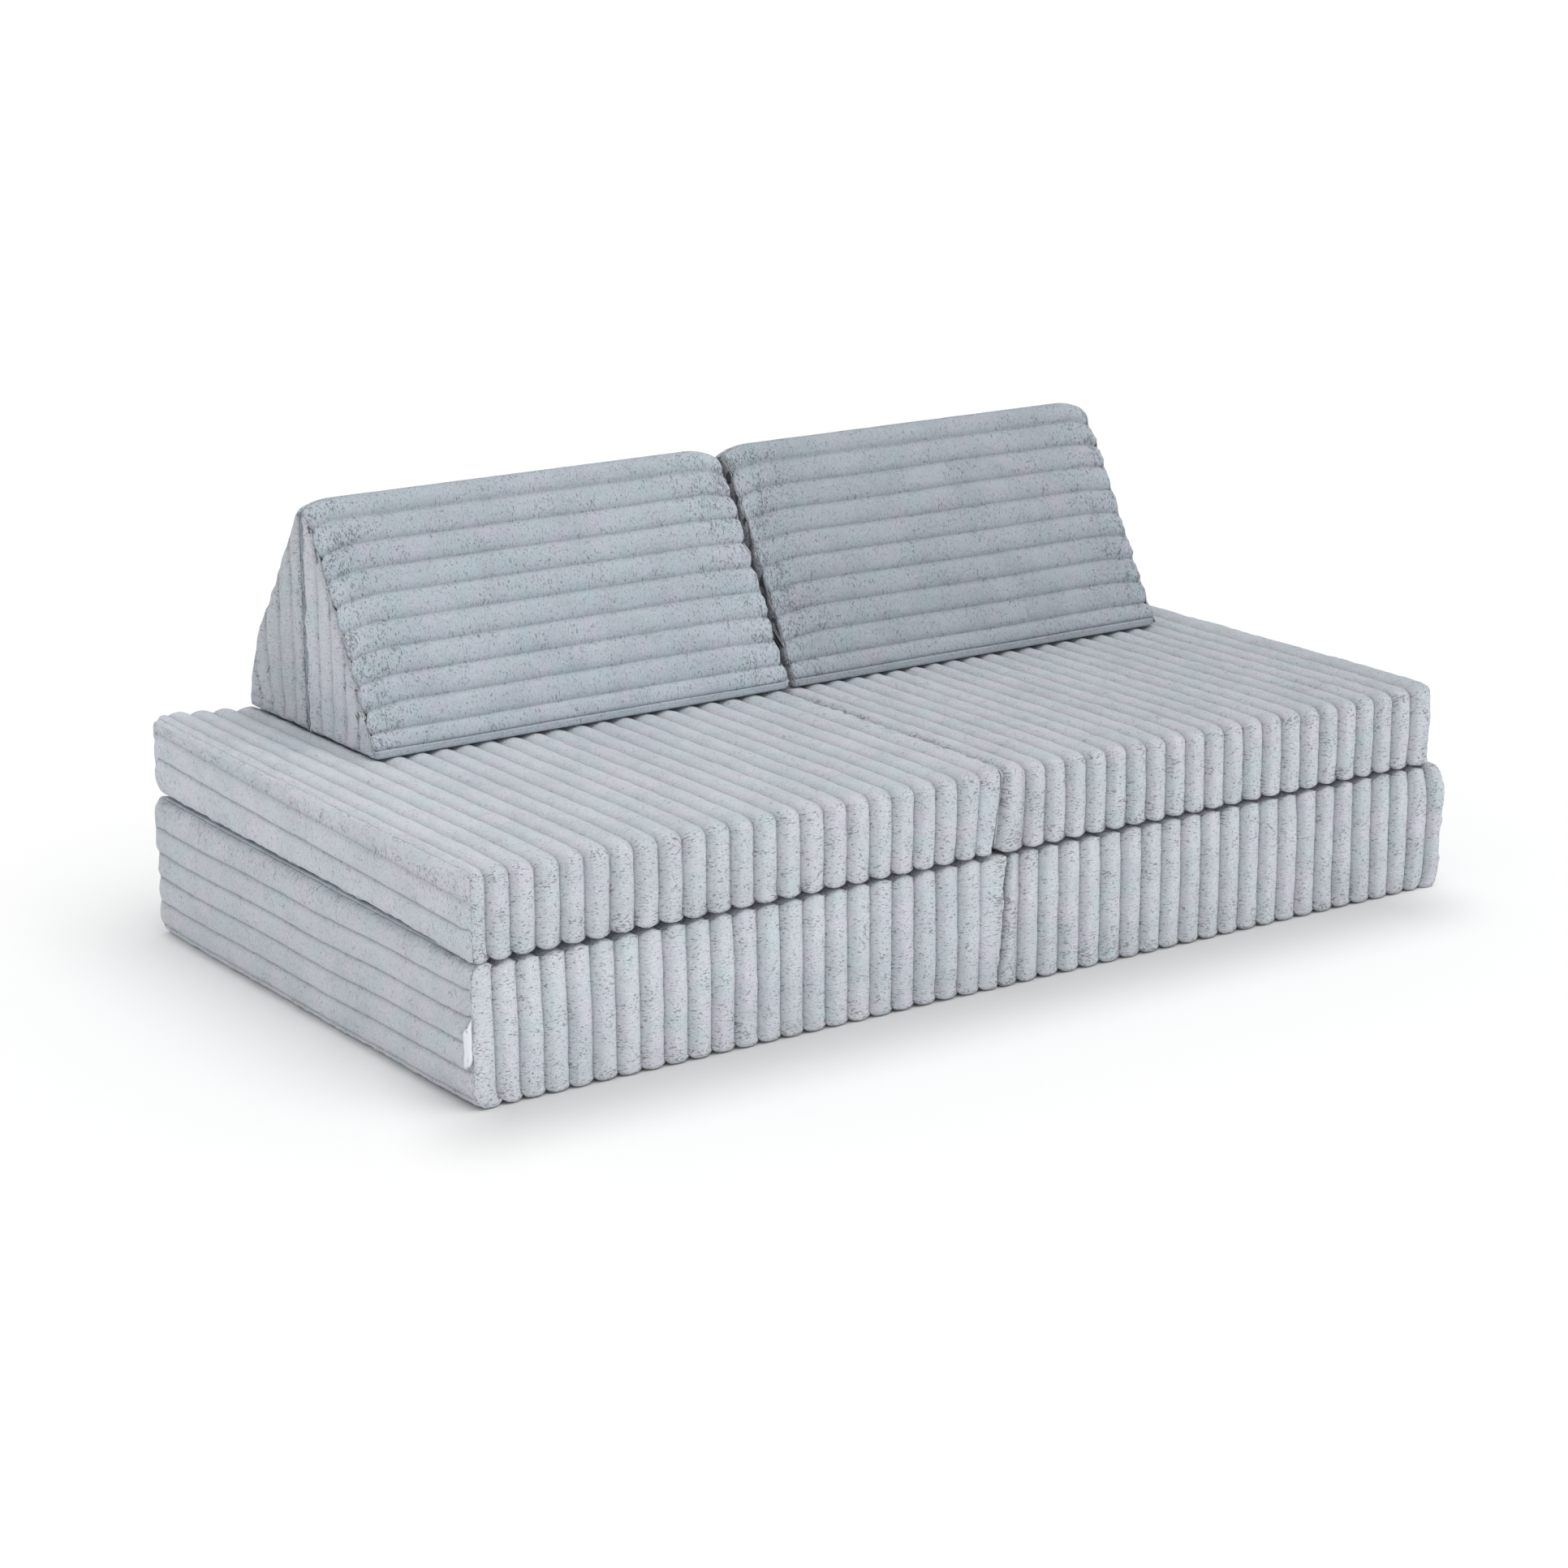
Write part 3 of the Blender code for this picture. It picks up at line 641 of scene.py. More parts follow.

# %% [markdown]
# ## One recipe for the four halves
#
# Each half is described by a few numbers: its ribs, how round its edges are, how its outer end draws in towards
# the top and the bottom, how its rear corner is lifted, and how the fold line leans, as the two halves press on
# each other. Painted light sets how much lighter or darker the pile is on the front, on top and on the end,
# falling a little from left to right, and how strong the painted shade is on the flanks of the ribs and beside
# the fold. What the left or the right halves share is written once, and so is what the halves of the base or of
# the seat share.

# %% The four halves


class Half:
    """The numbers of one mattress half; lengths in metres, side -1 is left and 1 is right."""

    def __init__(self, body, **numbers):
        self.body = body
        self.floor, self.top = span(body + "_cover", 2)
        self.end = max(abs(v) for v in span(body + "_end_panel", 0))
        for name, value in numbers.items():
            setattr(self, name, value)

    def share(self, z):
        return np.clip((z - self.floor) / (self.top - self.floor), 0.0, 1.0)

    def radius(self, z):
        """Radius of the outer edges at a height."""
        share = self.share(z)
        plain = self.low_round + (self.high_round - self.low_round) * ease(share, 0.3, 0.7)
        return plain + (self.corner_round - plain) * np.sqrt(np.clip(4.0 * share * (1.0 - share), 0.0, 1.0))

    def draw_in(self, y, z):
        """How far the outer end lies behind its widest place; below nothing where it bulges."""
        front = self.draw_front + (1.0 - self.draw_front) * ease(y, -HALF_DEPTH, -0.2)
        drawn = quarter(self.top - z, *self.draw_high) + quarter(z - self.floor, *self.draw_low) * front
        belly = bump(self.share(z) - self.bulge_at, 0.36) * (1.0 - 0.5 * (y / HALF_DEPTH) ** 6)
        return drawn - self.bulge * belly + 0.003 * np.abs(y / HALF_DEPTH) ** 6

    def crease(self, to_fold, z):
        """How far the cloth near the fold leans to the right."""
        share = self.share(z)
        high = self.lean_high * share * fading(to_fold, 0.022)
        return high + self.lean_low * (1.0 - share) * fading(to_fold, self.lean_reach)

    def raised(self, to_end, y, z):
        """How far the rear outer corner is lifted."""
        along = np.clip(1.0 - to_end / 0.155, 0.0, 1.0) * (y + HALF_DEPTH) / (2.0 * HALF_DEPTH)
        return self.lift * along * (ease(z, BASE_TOP - 0.04, BASE_TOP) if self.floor < BASE_TOP else 1.0)

    def painted_light_at(self, x, up):
        """Painted light: falls a little from left to right, with one level on the front and another on top."""
        along = np.clip((x + HALF_LENGTH) / (2.0 * HALF_LENGTH), 0.0, 1.0)
        front, top = (most - fall * along for most, fall in (self.front_tone, TOP_PAINTED_LIGHT))
        return between(front, top, up)


# Painted light on top: its level at the left and how much it falls to the right. The front's pair and the end's
# level below are painted light too.
TOP_PAINTED_LIGHT = (1.06, 0.21)
LEFT = dict(side=-1, first=0.0316, bulge_at=0.5, bulge=0.0, lift=0.012, lean_reach=0.09, flank_shade=0.15)
RIGHT = dict(side=1, outer_lean=0.0, draw_front=1.0, climb=0.0, lift=0.0, lean_reach=0.03, flank_shade=0.19)
BASE = dict(
    pitch=0.0362, high_round=0.006, low_round=0.006, lean_high=0.0150, lean_low=0.0,
    grooves=(0.0144, 0.0504, 0.0864, 0.1224, 0.1584), soft_groove=None, front_tone=(1.14, 0.08),
)
SEAT = dict(
    high_round=0.023, low_round=0.004, lean_high=0.0080,
    grooves=(0.0430, 0.0810), soft_groove=0.0810, front_tone=(1.075, 0.035),
)
HALVES = [
    Half(
        "base_left", **LEFT, **BASE, corner_round=0.022, outer_lean=0.0050,
        draw_high=(0.015, 0.027), draw_low=(0.018, 0.040), draw_front=1.0, climb=0.0,
        fold_round=0.006, fold_shade=0.06, end_painted_light=1.0, seed=10,
    ),
    Half(
        "base_right", **RIGHT, **BASE, first=0.0345, corner_round=0.020, bulge_at=0.66,
        draw_high=(0.030, 0.060), draw_low=(0.022, 0.034), bulge=0.015,
        fold_round=0.010, fold_shade=0.30, end_painted_light=0.95, seed=30,
    ),
    Half(
        "seat_left", **LEFT, **SEAT, pitch=0.0365, corner_round=0.024, outer_lean=0.0,
        draw_high=(0.004, 0.040), draw_low=(0.022, 0.038), draw_front=0.3, climb=0.018,
        lean_low=-0.0110, fold_round=0.007, fold_shade=0.0, end_painted_light=1.06, seed=50,
    ),
    Half(
        "seat_right", **RIGHT, **SEAT, first=0.0450, pitch=0.03555, corner_round=0.018, bulge_at=0.80,
        draw_high=(0.000, 0.040), draw_low=(0.006, 0.070), bulge=0.008,
        lean_low=-0.0092, fold_round=0.018, fold_shade=0.36, end_painted_light=1.0, seed=70,
    ),
]
print("ends at", [round(half.end, 4) for half in HALVES])

# %% The sleeve of one half
SEAM_REACH = 0.010
SEAM_WIDTH = 0.004
SEAM_SINK = 0.0009
SEAM_CALM = 0.045
FOLD_REACH = 0.009
FOLD_SINK = 0.0006
FOLD_CAP = 0.0050
END_CAP_GAP = 0.00015
CAP_INSET = 0.008
DRAW_REACH = 0.12
RIB_WANDER = ((0.0011, 0.16), (0.0007, 0.05))
RIB_KNOBS = ((0.0024, 0.030), (0.0016, 0.009))
KNOB_REACH = 0.010
RIB_VARIETY = 0.07
TOP_SAG = (0.0014, 0.28)
FRONT_SAG = 0.0020
FRONT_REACH = 0.12
FACE_SAG = (0.0010, 0.2)
FACE_SWELL = 0.0022
LEAN_REACH = 0.25


def sleeve_of(half):
    end, seed = half.end, half.seed
    edges = groove_edges(FOLD_START, end, half.first, half.pitch)
    rows, valley = (np.pad(values, 1, mode="edge") for values in rib_places(edges))
    banded, plain = (
        mattress_path(half.floor, half.top, half.high_round, half.low_round, with_band)
        for with_band in (True, False)
    )
    columns = mattress_columns(banded, STEP)
    bm, i, j = lay_grid(len(rows), len(columns))
    x, v = rows[i], valley[i]
    to_end, to_fold = end - x, x - FOLD_START
    place, out = banded.at(columns)
    plain_place, plain_out = plain.at(np.interp(columns, banded.marks, plain.marks))
    fade = (1.0 - ease(to_end, 0.004, 0.030))[:, None]
    y, z = between(place[j], plain_place[j], fade).T
    facing = between(out[j], plain_out[j], fade)
    out_y, out_z = (facing / np.linalg.norm(facing, axis=1, keepdims=True)).T

    # No ribs on the underside and on the band, full ones on the upright faces, low ones on top.
    under = np.where(z < half.floor + 0.0005, ease(np.abs(y), HALF_DEPTH - 0.050, HALF_DEPTH - 0.016), 1.0)
    band_top = half.floor + BAND_HEIGHT
    band = np.where((y > 0.3) & (z < half.floor + 0.07), ease(z, band_top, band_top + 0.008), 1.0)
    ribbed = under * np.maximum(band, fade[:, 0])
    up, upright = ease(out_z, 0.45, 0.98), 1.0 - np.abs(out_z)
    height = between(rib_height(v, FULL_ROLL), rib_height(v, LOW_WAVE), up)
    depth = between(FACE_DEPTH, TOP_DEPTH, up)

    # Both ends roll over, and the outer one draws in.
    sink, move, own, over = roll(to_end, half.radius(z))
    fold_sink = quarter(to_fold, half.fold_round, half.fold_round)
    raised = half.raised(to_end, y, z)
    x = x - move - half.draw_in(y, z) * np.clip(1.0 - to_end / DRAW_REACH, 0.0, 1.0) ** 2
    x = x - half.outer_lean * (1.0 - half.share(z)) * fading(to_end, LEAN_REACH) * ease(to_end, 0.0, 0.03)
    spot = points_at(half.side * x, y - out_y * sink, z - out_z * sink)

    # How deep each point lies under the crowns: grooves, stitches, tufts, sags and waves.
    seam = np.clip(fading(to_end, SEAM_REACH) * (1.0 - 0.7 * up) + 0.9 * fading(to_fold, FOLD_REACH), 0.0, 1.0)
    drop = depth * (1.0 - height) * ribbed * (1.0 + 0.10 * waves(spot, RIB_VARIETY, seed))
    stitches = SEAM_SINK * fading(to_end, SEAM_WIDTH) * (1.0 - 0.8 * up)
    drop += stitches + FOLD_SINK * fading(to_fold, SEAM_WIDTH) * ribbed
    drop += tufts(spot, seam, seed + 1) * (0.2 + 0.8 * ribbed)
    free = ease(to_end, 0.0, SEAM_CALM)
    edge = ease(y, -HALF_DEPTH, -HALF_DEPTH + FRONT_REACH)
    drop += free * up * (FRONT_SAG * (1.0 - edge) + sag(spot, *TOP_SAG, seed + 4))
    level = 2.0 * half.share(z) - 1.0
    drop += free * upright * (FACE_SWELL * level * level + sag(spot, *FACE_SAG, seed + 5))
    knobs = ribbed * fading(np.minimum(z - half.floor, half.top - z), KNOB_REACH) * upright
    drop += free * knobs * layered(spot, RIB_KNOBS, seed + 8)
    x = x + layered(spot, RIB_WANDER, seed + 6) * ribbed * ease(np.minimum(to_end, to_fold), 0.0, 0.02)

    # The outermost row at each end turns in behind the panel.
    caps = [i == 0, i == len(rows) - 1]
    x = np.select(caps, [FOLD_CAP, end - PANEL_DEPTH - END_CAP_GAP], x - over * drop)
    inward = np.where(caps[0] | caps[1], CAP_INSET + sink + fold_sink, sink + fold_sink + own * drop)
    points = points_at(
        half.side * x + half.crease(to_fold, z),
        y - out_y * inward,
        np.clip(z - out_z * inward + raised, half.floor + raised, half.top + raised),
    )

    # Near the fold the pile is more crushed, and the cover is painted darker there as painted shade.
    near_fold = bump(to_fold, 0.011) * (1.0 - 0.6 * up)
    turn = np.exp(-((out_z - 0.45) ** 2) / 0.10) * (y < 0)
    foot = fading(np.abs(z - half.floor), 0.020) * (y < 0)
    crush = seam + 0.65 * turn + 0.60 * foot + 0.28 * upright + 3.0 * half.fold_shade * near_fold
    # Painted shade in the notches where the seat meets the base, and on one flank of each rib on the upright
    # faces.
    painted_gap_shade = (1.0 - height) * ribbed * upright * fading(np.abs(z - BASE_TOP), 0.008)
    painted_flank_mask = ease(-half.side * v, 0.10, 0.62) * (1.0 - up) * ribbed
    # Painted light: lighter at the left, another level on top, times the painted shade of the flanks, the
    # notches and the fold.
    tone = half.painted_light_at(points[:, 0], up) * (1.0 - half.flank_shade * painted_flank_mask) * (1.0 - 0.6 * painted_gap_shade)
    tone = tone * (1.0 - half.fold_shade * near_fold * ribbed)
    rib = 1.0 - (1.0 - height) * ribbed
    lie = (rows[i], columns[j], 0.37 * seed)
    return sheet_object(bm, half.body + "_cover_plush", plush, points, rib, np.clip(crush, 0.0, 1.0), tone, lie)


def dress(piece, body, node):
    """Puts the piece on the body it rides on and hides the frame node that it stands for."""
    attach(piece, body)
    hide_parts(node)


for half in HALVES:
    dress(sleeve_of(half), half.body, half.body + "_cover")

# %% [markdown]
# ## The outer end panels
#
# The ends are closed by separate panels whose ribs lie level. Each is a shallow pillow: its face swells
# towards the middle, and its four edges roll over to the seam. The cloth is tight here, so the ribs are
# flat and the grooves are fine lines. On the seat's left end they climb a little to the rear.

# %% Mattress end panels
END_RIB_DEPTH = 0.0050
END_DEEPEST = 2.2 * PANEL_DEPTH
END_SAG = (0.0012, 0.2)
END_SWAY = (0.0020, 0.18)
SOFT_WIDTH = 0.012
FUZZ_WIDTH = 0.009
PANEL_STEP = 180.0 * STEP / 1.1


def end_panel(half):
    middle, tall = (half.floor + half.top) / 2, (half.top - half.floor) / 2
    rows, valley = rib_places([half.floor, *(half.floor + groove for groove in half.grooves), half.top])
    columns = np.sin(np.radians(even(-90.0, 90.0, PANEL_STEP)))
    bm, i, j = lay_grid(len(rows), len(columns))
    z, v = rows[i], valley[i]
    radius = half.radius(z)
    from_edge = np.minimum(z - half.floor, half.top - z)
    left_z = np.clip(radius - from_edge, 0.0, radius)
    y = columns[j] * (HALF_DEPTH - radius + np.sqrt(radius * radius - left_z * left_z))
    from_side = HALF_DEPTH - np.abs(y)

    # Two edges meet at each corner, so the roll is taken about both at once.
    left_y = np.clip(radius - from_side, 0.0, radius)
    size = np.sqrt(left_y**2 + left_z**2 + radius**2)
    inside = np.hypot(left_y, left_z)
    distance = np.where(inside > 0.0, radius - inside, np.minimum(from_side, from_edge))
    distance = np.maximum(distance, 0.0)
    y_new = np.where(left_y > 0.0, np.sign(y) * (HALF_DEPTH - radius + radius * left_y / size), y)
    z_edge = middle + np.sign(z - middle) * (tall - radius + radius * left_z / size)
    z_new = np.where(left_z > 0.0, z_edge, z)
    x = half.end - radius + radius * radius / size - half.draw_in(y, z)
    out_x, out_y, out_z = radius / size, np.sign(y) * left_y / size, np.sign(z - middle) * left_z / size

    height, depth, fuzz = rib_height(v, TIGHT_ROLL), END_RIB_DEPTH, 0.0
    if half.soft_groove is not None:
        above = z - half.floor - half.soft_groove
        soft = bump(above, SOFT_WIDTH)
        depth = depth * (1.0 - 0.62 * soft)
        height = between(height, rib_height(v, LOW_WAVE), soft)
        fuzz = bump(above - FUZZ_WIDTH, FUZZ_WIDTH)
    spot = points_at(half.side * x, y_new, z_new)
    level = np.abs(out_z)
    seam = fading(distance, SEAM_REACH) * (1.0 - 0.7 * level)
    corner = ease(from_side, 0.0, 0.010)
    drop = depth * (1.0 - height) * corner * (1.0 + 0.15 * waves(spot, RIB_VARIETY, half.seed))
    drop += SEAM_SINK * fading(distance, SEAM_WIDTH) * (1.0 - 0.8 * level)
    drop += tufts(spot, np.clip(seam + 0.5 * fuzz, 0.0, 1.0), half.seed + 1)
    drop += sag(spot, *END_SAG, half.seed + 8) * ease(distance, 0.0, 0.05)
    free, share = ease(distance, 0.0, 0.03), half.share(z)
    sway = layered(spot, [END_SWAY], half.seed + 9) * free
    sway += half.climb * (y / HALF_DEPTH + 1.0) / 2.0 * np.sqrt(4.0 * share * (1.0 - share)) * free
    points = points_at(
        half.side * np.maximum(x - out_x * drop, half.end - END_DEEPEST),
        y_new - out_y * drop,
        np.clip(z_new - out_z * drop + sway, half.floor, half.top) + half.raised(0.0, y, z),
    )
    rib = 1.0 - (1.0 - height) * corner
    crush = np.clip(seam + 0.08 + 0.75 * fuzz, 0.0, 1.0)
    lie = (z, y, 0.41 * half.seed)
    # Painted light: one level for the whole end panel.
    return sheet_object(bm, half.body + "_end_panel_plush", plush, points, rib, crush, half.end_painted_light, lie)


for half in HALVES:
    dress(end_panel(half), half.body, half.body + "_end_panel")

# %% [markdown]
# ## The faces inside the folds
#
# Where two halves meet, each has a plain cloth face set into its sleeve. It follows the lean of its
# sleeve, so it never shows through the fold.

# %% Fold faces
FOLD_LEVELS = 12
FOLD_CORNER = 0.012
FOLD_PROUD = 0.0002


def fold_face(half):
    node = half.body + "_fold_panel"
    low_y, high_y = span(node, 1)
    low_z, high_z = span(node, 2)
    near, far = sorted(abs(v) for v in span(node, 0))
    bm = bmesh.new()
    bmesh.ops.create_cube(bm, size=1.0)
    bmesh.ops.scale(bm, vec=(far - near, high_y - low_y, high_z - low_z), verts=bm.verts)
    place = (half.side * (near + far) / 2, (low_y + high_y) / 2, (low_z + high_z) / 2)
    bmesh.ops.translate(bm, vec=place, verts=bm.verts)
    upright = [e for e in bm.edges if abs(e.verts[0].co.x - e.verts[1].co.x) > 0.001]
    bmesh.ops.bevel(bm, geom=upright, offset=FOLD_CORNER, segments=4, profile=0.5, affect="EDGES")
    for level in range(1, FOLD_LEVELS):
        height = low_z + (high_z - low_z) * level / FOLD_LEVELS
        everything = bm.verts[:] + bm.edges[:] + bm.faces[:]
        bmesh.ops.bisect_plane(bm, geom=everything, plane_co=(0, 0, height), plane_no=(0, 0, 1))
    for vert in bm.verts:
        vert.co.x += half.crease(0.0, vert.co.z) + half.side * FOLD_PROUD
    piece = closed_object(bm, node + "_cloth", plain_cloth)
    piece.data.polygons.foreach_set("use_smooth", [False] * len(piece.data.polygons))
    return piece


for half in HALVES:
    dress(fold_face(half), half.body, half.body + "_fold_panel")
print("fold faces:", len(HALVES))

# %% [markdown]
# ## The wedge covers
#
# A wedge's sheet goes round the other way: its ribs run along the wedge, so they lie level on the slope
# and the rows of the grid follow the section. The first rib goes on over the ridge without a groove, and
# under the last rib a narrow plain strip of the bottom panel shows. The corners of the ridge are round,
# the slope swells in the middle, and the rear wedge sags into a belly over its toe.

# %% Wedge section
RIDGE_ROUND = 0.024
SLOPE_ANGLE = 29.2
TOE_TOP = 0.0126
FIRST_GROOVE = 0.0120
SLOPE_RIB = 0.0381
SLOPE_DEPTH = 0.0058
REAR_RIB_DEPTH = 0.003
WEDGE_ZIP = 0.051
SLOPE_ALONG = (math.sin(math.radians(SLOPE_ANGLE)), -math.cos(math.radians(SLOPE_ANGLE)))


def wedge_path():
    """Section of a wedge as distance from the ridge plane and height over its floor, from the foot of
    the upright face clockwise. Also the lengths where the upright face, the ridge and the slope end."""
    points = [(0.0, 0.004), (0.0, WEDGE_HEIGHT - 0.0015)]
    upright = WEDGE_HEIGHT - 0.0055
    points += arc((0.0, WEDGE_HEIGHT - RIDGE_ROUND), RIDGE_ROUND, 86, SLOPE_ANGLE, 10)
    crest = Path(points).length
    points += [(WEDGE_DEPTH, TOE_TOP)]
    slope = Path(points).length
    points += [(WEDGE_DEPTH - 0.0005, 0.0070)]
    points += arc((WEDGE_DEPTH - 0.0055, 0.005), 0.005, 10, -90, 5)
    far, near, deep = WEDGE_ZIP + CHANNEL_HALF, WEDGE_ZIP - CHANNEL_HALF, CHANNEL_DEPTH + 0.002
    points += [(far + 0.001, 0.0), (far, deep), (near, deep), (near - 0.001, 0.0)]
    points += [(0.004, 0.0), (0.0, 0.004)]
    return Path(points), upright, crest, slope


wedge_outline, upright_end, crest, slope = wedge_path()
print("round a wedge:", round(wedge_outline.length, 3), "m, slope", round(slope - crest, 3), "m")


def wedge_rows():
    """Places round the section, how near each lies to a groove, and the depth of its ribs."""
    back_edges = [0.0] + [0.0315 + RIB * k for k in range(8)] + [upright_end]
    back, back_valley = rib_places(back_edges, 6)
    first = crest + FIRST_GROOVE
    ridge = even(upright_end, first, 0.0024)[1:]
    ridge_valley = 1.0 - np.clip(2.0 * (first - ridge) / SLOPE_RIB, 0.0, 1.0)
    front, front_valley = [first], [1.0]
    edges = [first + SLOPE_RIB * k for k in range(9)] + [slope]
    for low, high in zip(edges, edges[1:]):
        for share, place in cosine_steps(low, high, RIB_STEPS):
            front.append(place)
            front_valley.append(abs(2.0 * share - 1.0))
    toe = even(slope, slope + 0.020, 0.0016)[1:]
    under = even(slope + 0.020, wedge_outline.length, 0.006)[1:]
    places = np.concatenate([back, ridge, front[1:], toe, under])
    flat = np.zeros(len(toe) + len(under))
    valley = np.concatenate([back_valley, ridge_valley, front_valley[1:], flat])
    depth = np.concatenate([
        np.full(len(back), REAR_RIB_DEPTH),
        np.full(len(ridge) + len(front) - 1, SLOPE_DEPTH),
        np.zeros(len(toe) + len(under)),
    ])
    return places, valley, depth


wedge_places, wedge_valleys, wedge_depths = wedge_rows()
print("rows round a wedge:", len(wedge_places))

# %% [markdown]
# ## How a stuffed wedge departs from its foam
#
# All of this bends the section in the same way for the sleeve and for the end panels, so that they keep
# meeting at the seam: the ridge falls at its ends, the rear wedge has a belly and a drawn-in toe, and each
# rib ends in a small knob with a notch beside it.

# %% Wedge bends
NOTCH = 0.0030
INNER_ROUND = 0.008
RIDGE_FALL = 0.0140
FALL_REACH = 0.055
BELLY_OUT, BELLY_HEIGHT, BELLY_WIDTH = 0.014, 0.115, 0.072
TOE_IN, TOE_HEIGHT = 0.024, 0.052
SLOPE_SLIDE = (0.0014, 0.16)
DIP_REACH = 0.080
FRONT_SWELL, REAR_SWELL = 0.0050, 0.0020


def ridge_fall(to_end, z):
    """How far the ridge comes down towards an end."""
    bend = np.clip(1.0 - to_end / FALL_REACH, 0.0, 1.0) ** 2.2
    return RIDGE_FALL * bend * ease(z, WEDGE_HEIGHT - 0.10, WEDGE_HEIGHT)


def calm(z):
    """Nothing at the ridge and 1 from a rib below it: how freely the cloth may wave."""
    return ease(WEDGE_HEIGHT - z, 0.0, 0.035)


def belly(u, z, way):
    """How far a point moves outwards, away from the ridge plane."""
    if way < 0:
        return np.zeros(len(u))
    share = np.clip(u / WEDGE_DEPTH, 0.0, 1.0)
    toe = TOE_IN * np.clip(1.0 - z / TOE_HEIGHT, 0.0, 1.0) ** 1.6
    out = BELLY_OUT * bump(z - BELLY_HEIGHT, BELLY_WIDTH) - toe
    return out * np.where(z < 0.02, share**4, np.clip(share * 1.6, 0.0, 1.0) ** 2)


def swell(to_end, s, way):
    """How far the slope swells past its straight line."""
    along = np.clip((s - crest) / (slope - crest), 0.0, 1.0)
    most = FRONT_SWELL if way < 0 else REAR_SWELL
    return most * 4.0 * along * (1.0 - along) * ease(to_end, 0.0, 0.10)


def rib_valley(s):
    """How near a place on the slope lies to a groove."""
    return np.interp(s, wedge_places, wedge_valleys)


def droop(dip, to_end, x, z, seed):
    """How far the ribs slide down the slope, most of all at an end."""
    spot = points_at(x, 0.0, z)
    bend = np.clip(1.0 - to_end / DIP_REACH, 0.0, 1.0) ** 2
    slide = layered(spot, [SLOPE_SLIDE], seed) + dip * bend * ease(z, 0.02, 0.07)
    return slide * ease(WEDGE_HEIGHT - z, 0.01, 0.06)


print("a rib end is notched by", round(NOTCH * 1000, 1), "mm")

# %% The cover of one wedge
WEDGE_SEAM_REACH = 0.012
WEDGE_SEAM_SINK = 0.0008
WEDGE_CAP_INSET = 0.0085
WEDGE_CAP_GAP = 0.0018
DENSE_END = 0.030
DENSE_STEP = 0.0030
SLOPE_SAG = (0.0012, 0.24)


class Wedge:
    """The numbers of one wedge: way -1 is the front one, pairs are for the left and the right end."""

    def __init__(self, body, way, rounds, proud, dips, painted_light_levels, seed):
        self.body, self.way, self.rounds, self.dips, self.seed = body, way, rounds, dips, seed
        self.low_x = span(body + "_left_panel", 0)[0] - proud[0]
        self.high_x = span(body + "_right_panel", 0)[1] + proud[1]
        self.tone, self.low_tone, self.end_painted_light = painted_light_levels
        self.notch, self.rough, self.knob = (NOTCH, 1.0, 1.0) if way < 0 else (0.0, 0.4, 0.1)
        self.fuzz = [0.004 if r > INNER_ROUND else 0.0 for r in rounds]


# The third group of numbers is painted light: the slope's level at the ridge, at its foot, and the outer end
# panels' level; the right backrest is painted darker than the left.
WEDGES = [
    Wedge(
        "back_left_rear", way=1, rounds=(0.013, 0.004), proud=(0.0015, 0.0), dips=(0.006, 0.003),
        painted_light_levels=(0.79, 0.80, 0.95), seed=110,
    ),
    Wedge(
        "back_left_front", way=-1, rounds=(0.012, 0.004), proud=(0.0015, 0.0), dips=(0.012, 0.003),
        painted_light_levels=(0.785, 0.83, 1.08), seed=130,
    ),
    Wedge(
        "back_right_rear", way=1, rounds=(0.004, 0.013), proud=(0.0, 0.0015), dips=(0.003, 0.006),
        painted_light_levels=(0.70, 0.68, 0.76), seed=150,
    ),
    Wedge(
        "back_right_front", way=-1, rounds=(0.005, 0.012), proud=(0.0, 0.0015), dips=(0.009, 0.005),
        painted_light_levels=(0.69, 0.66, 0.76), seed=170,
    ),
]


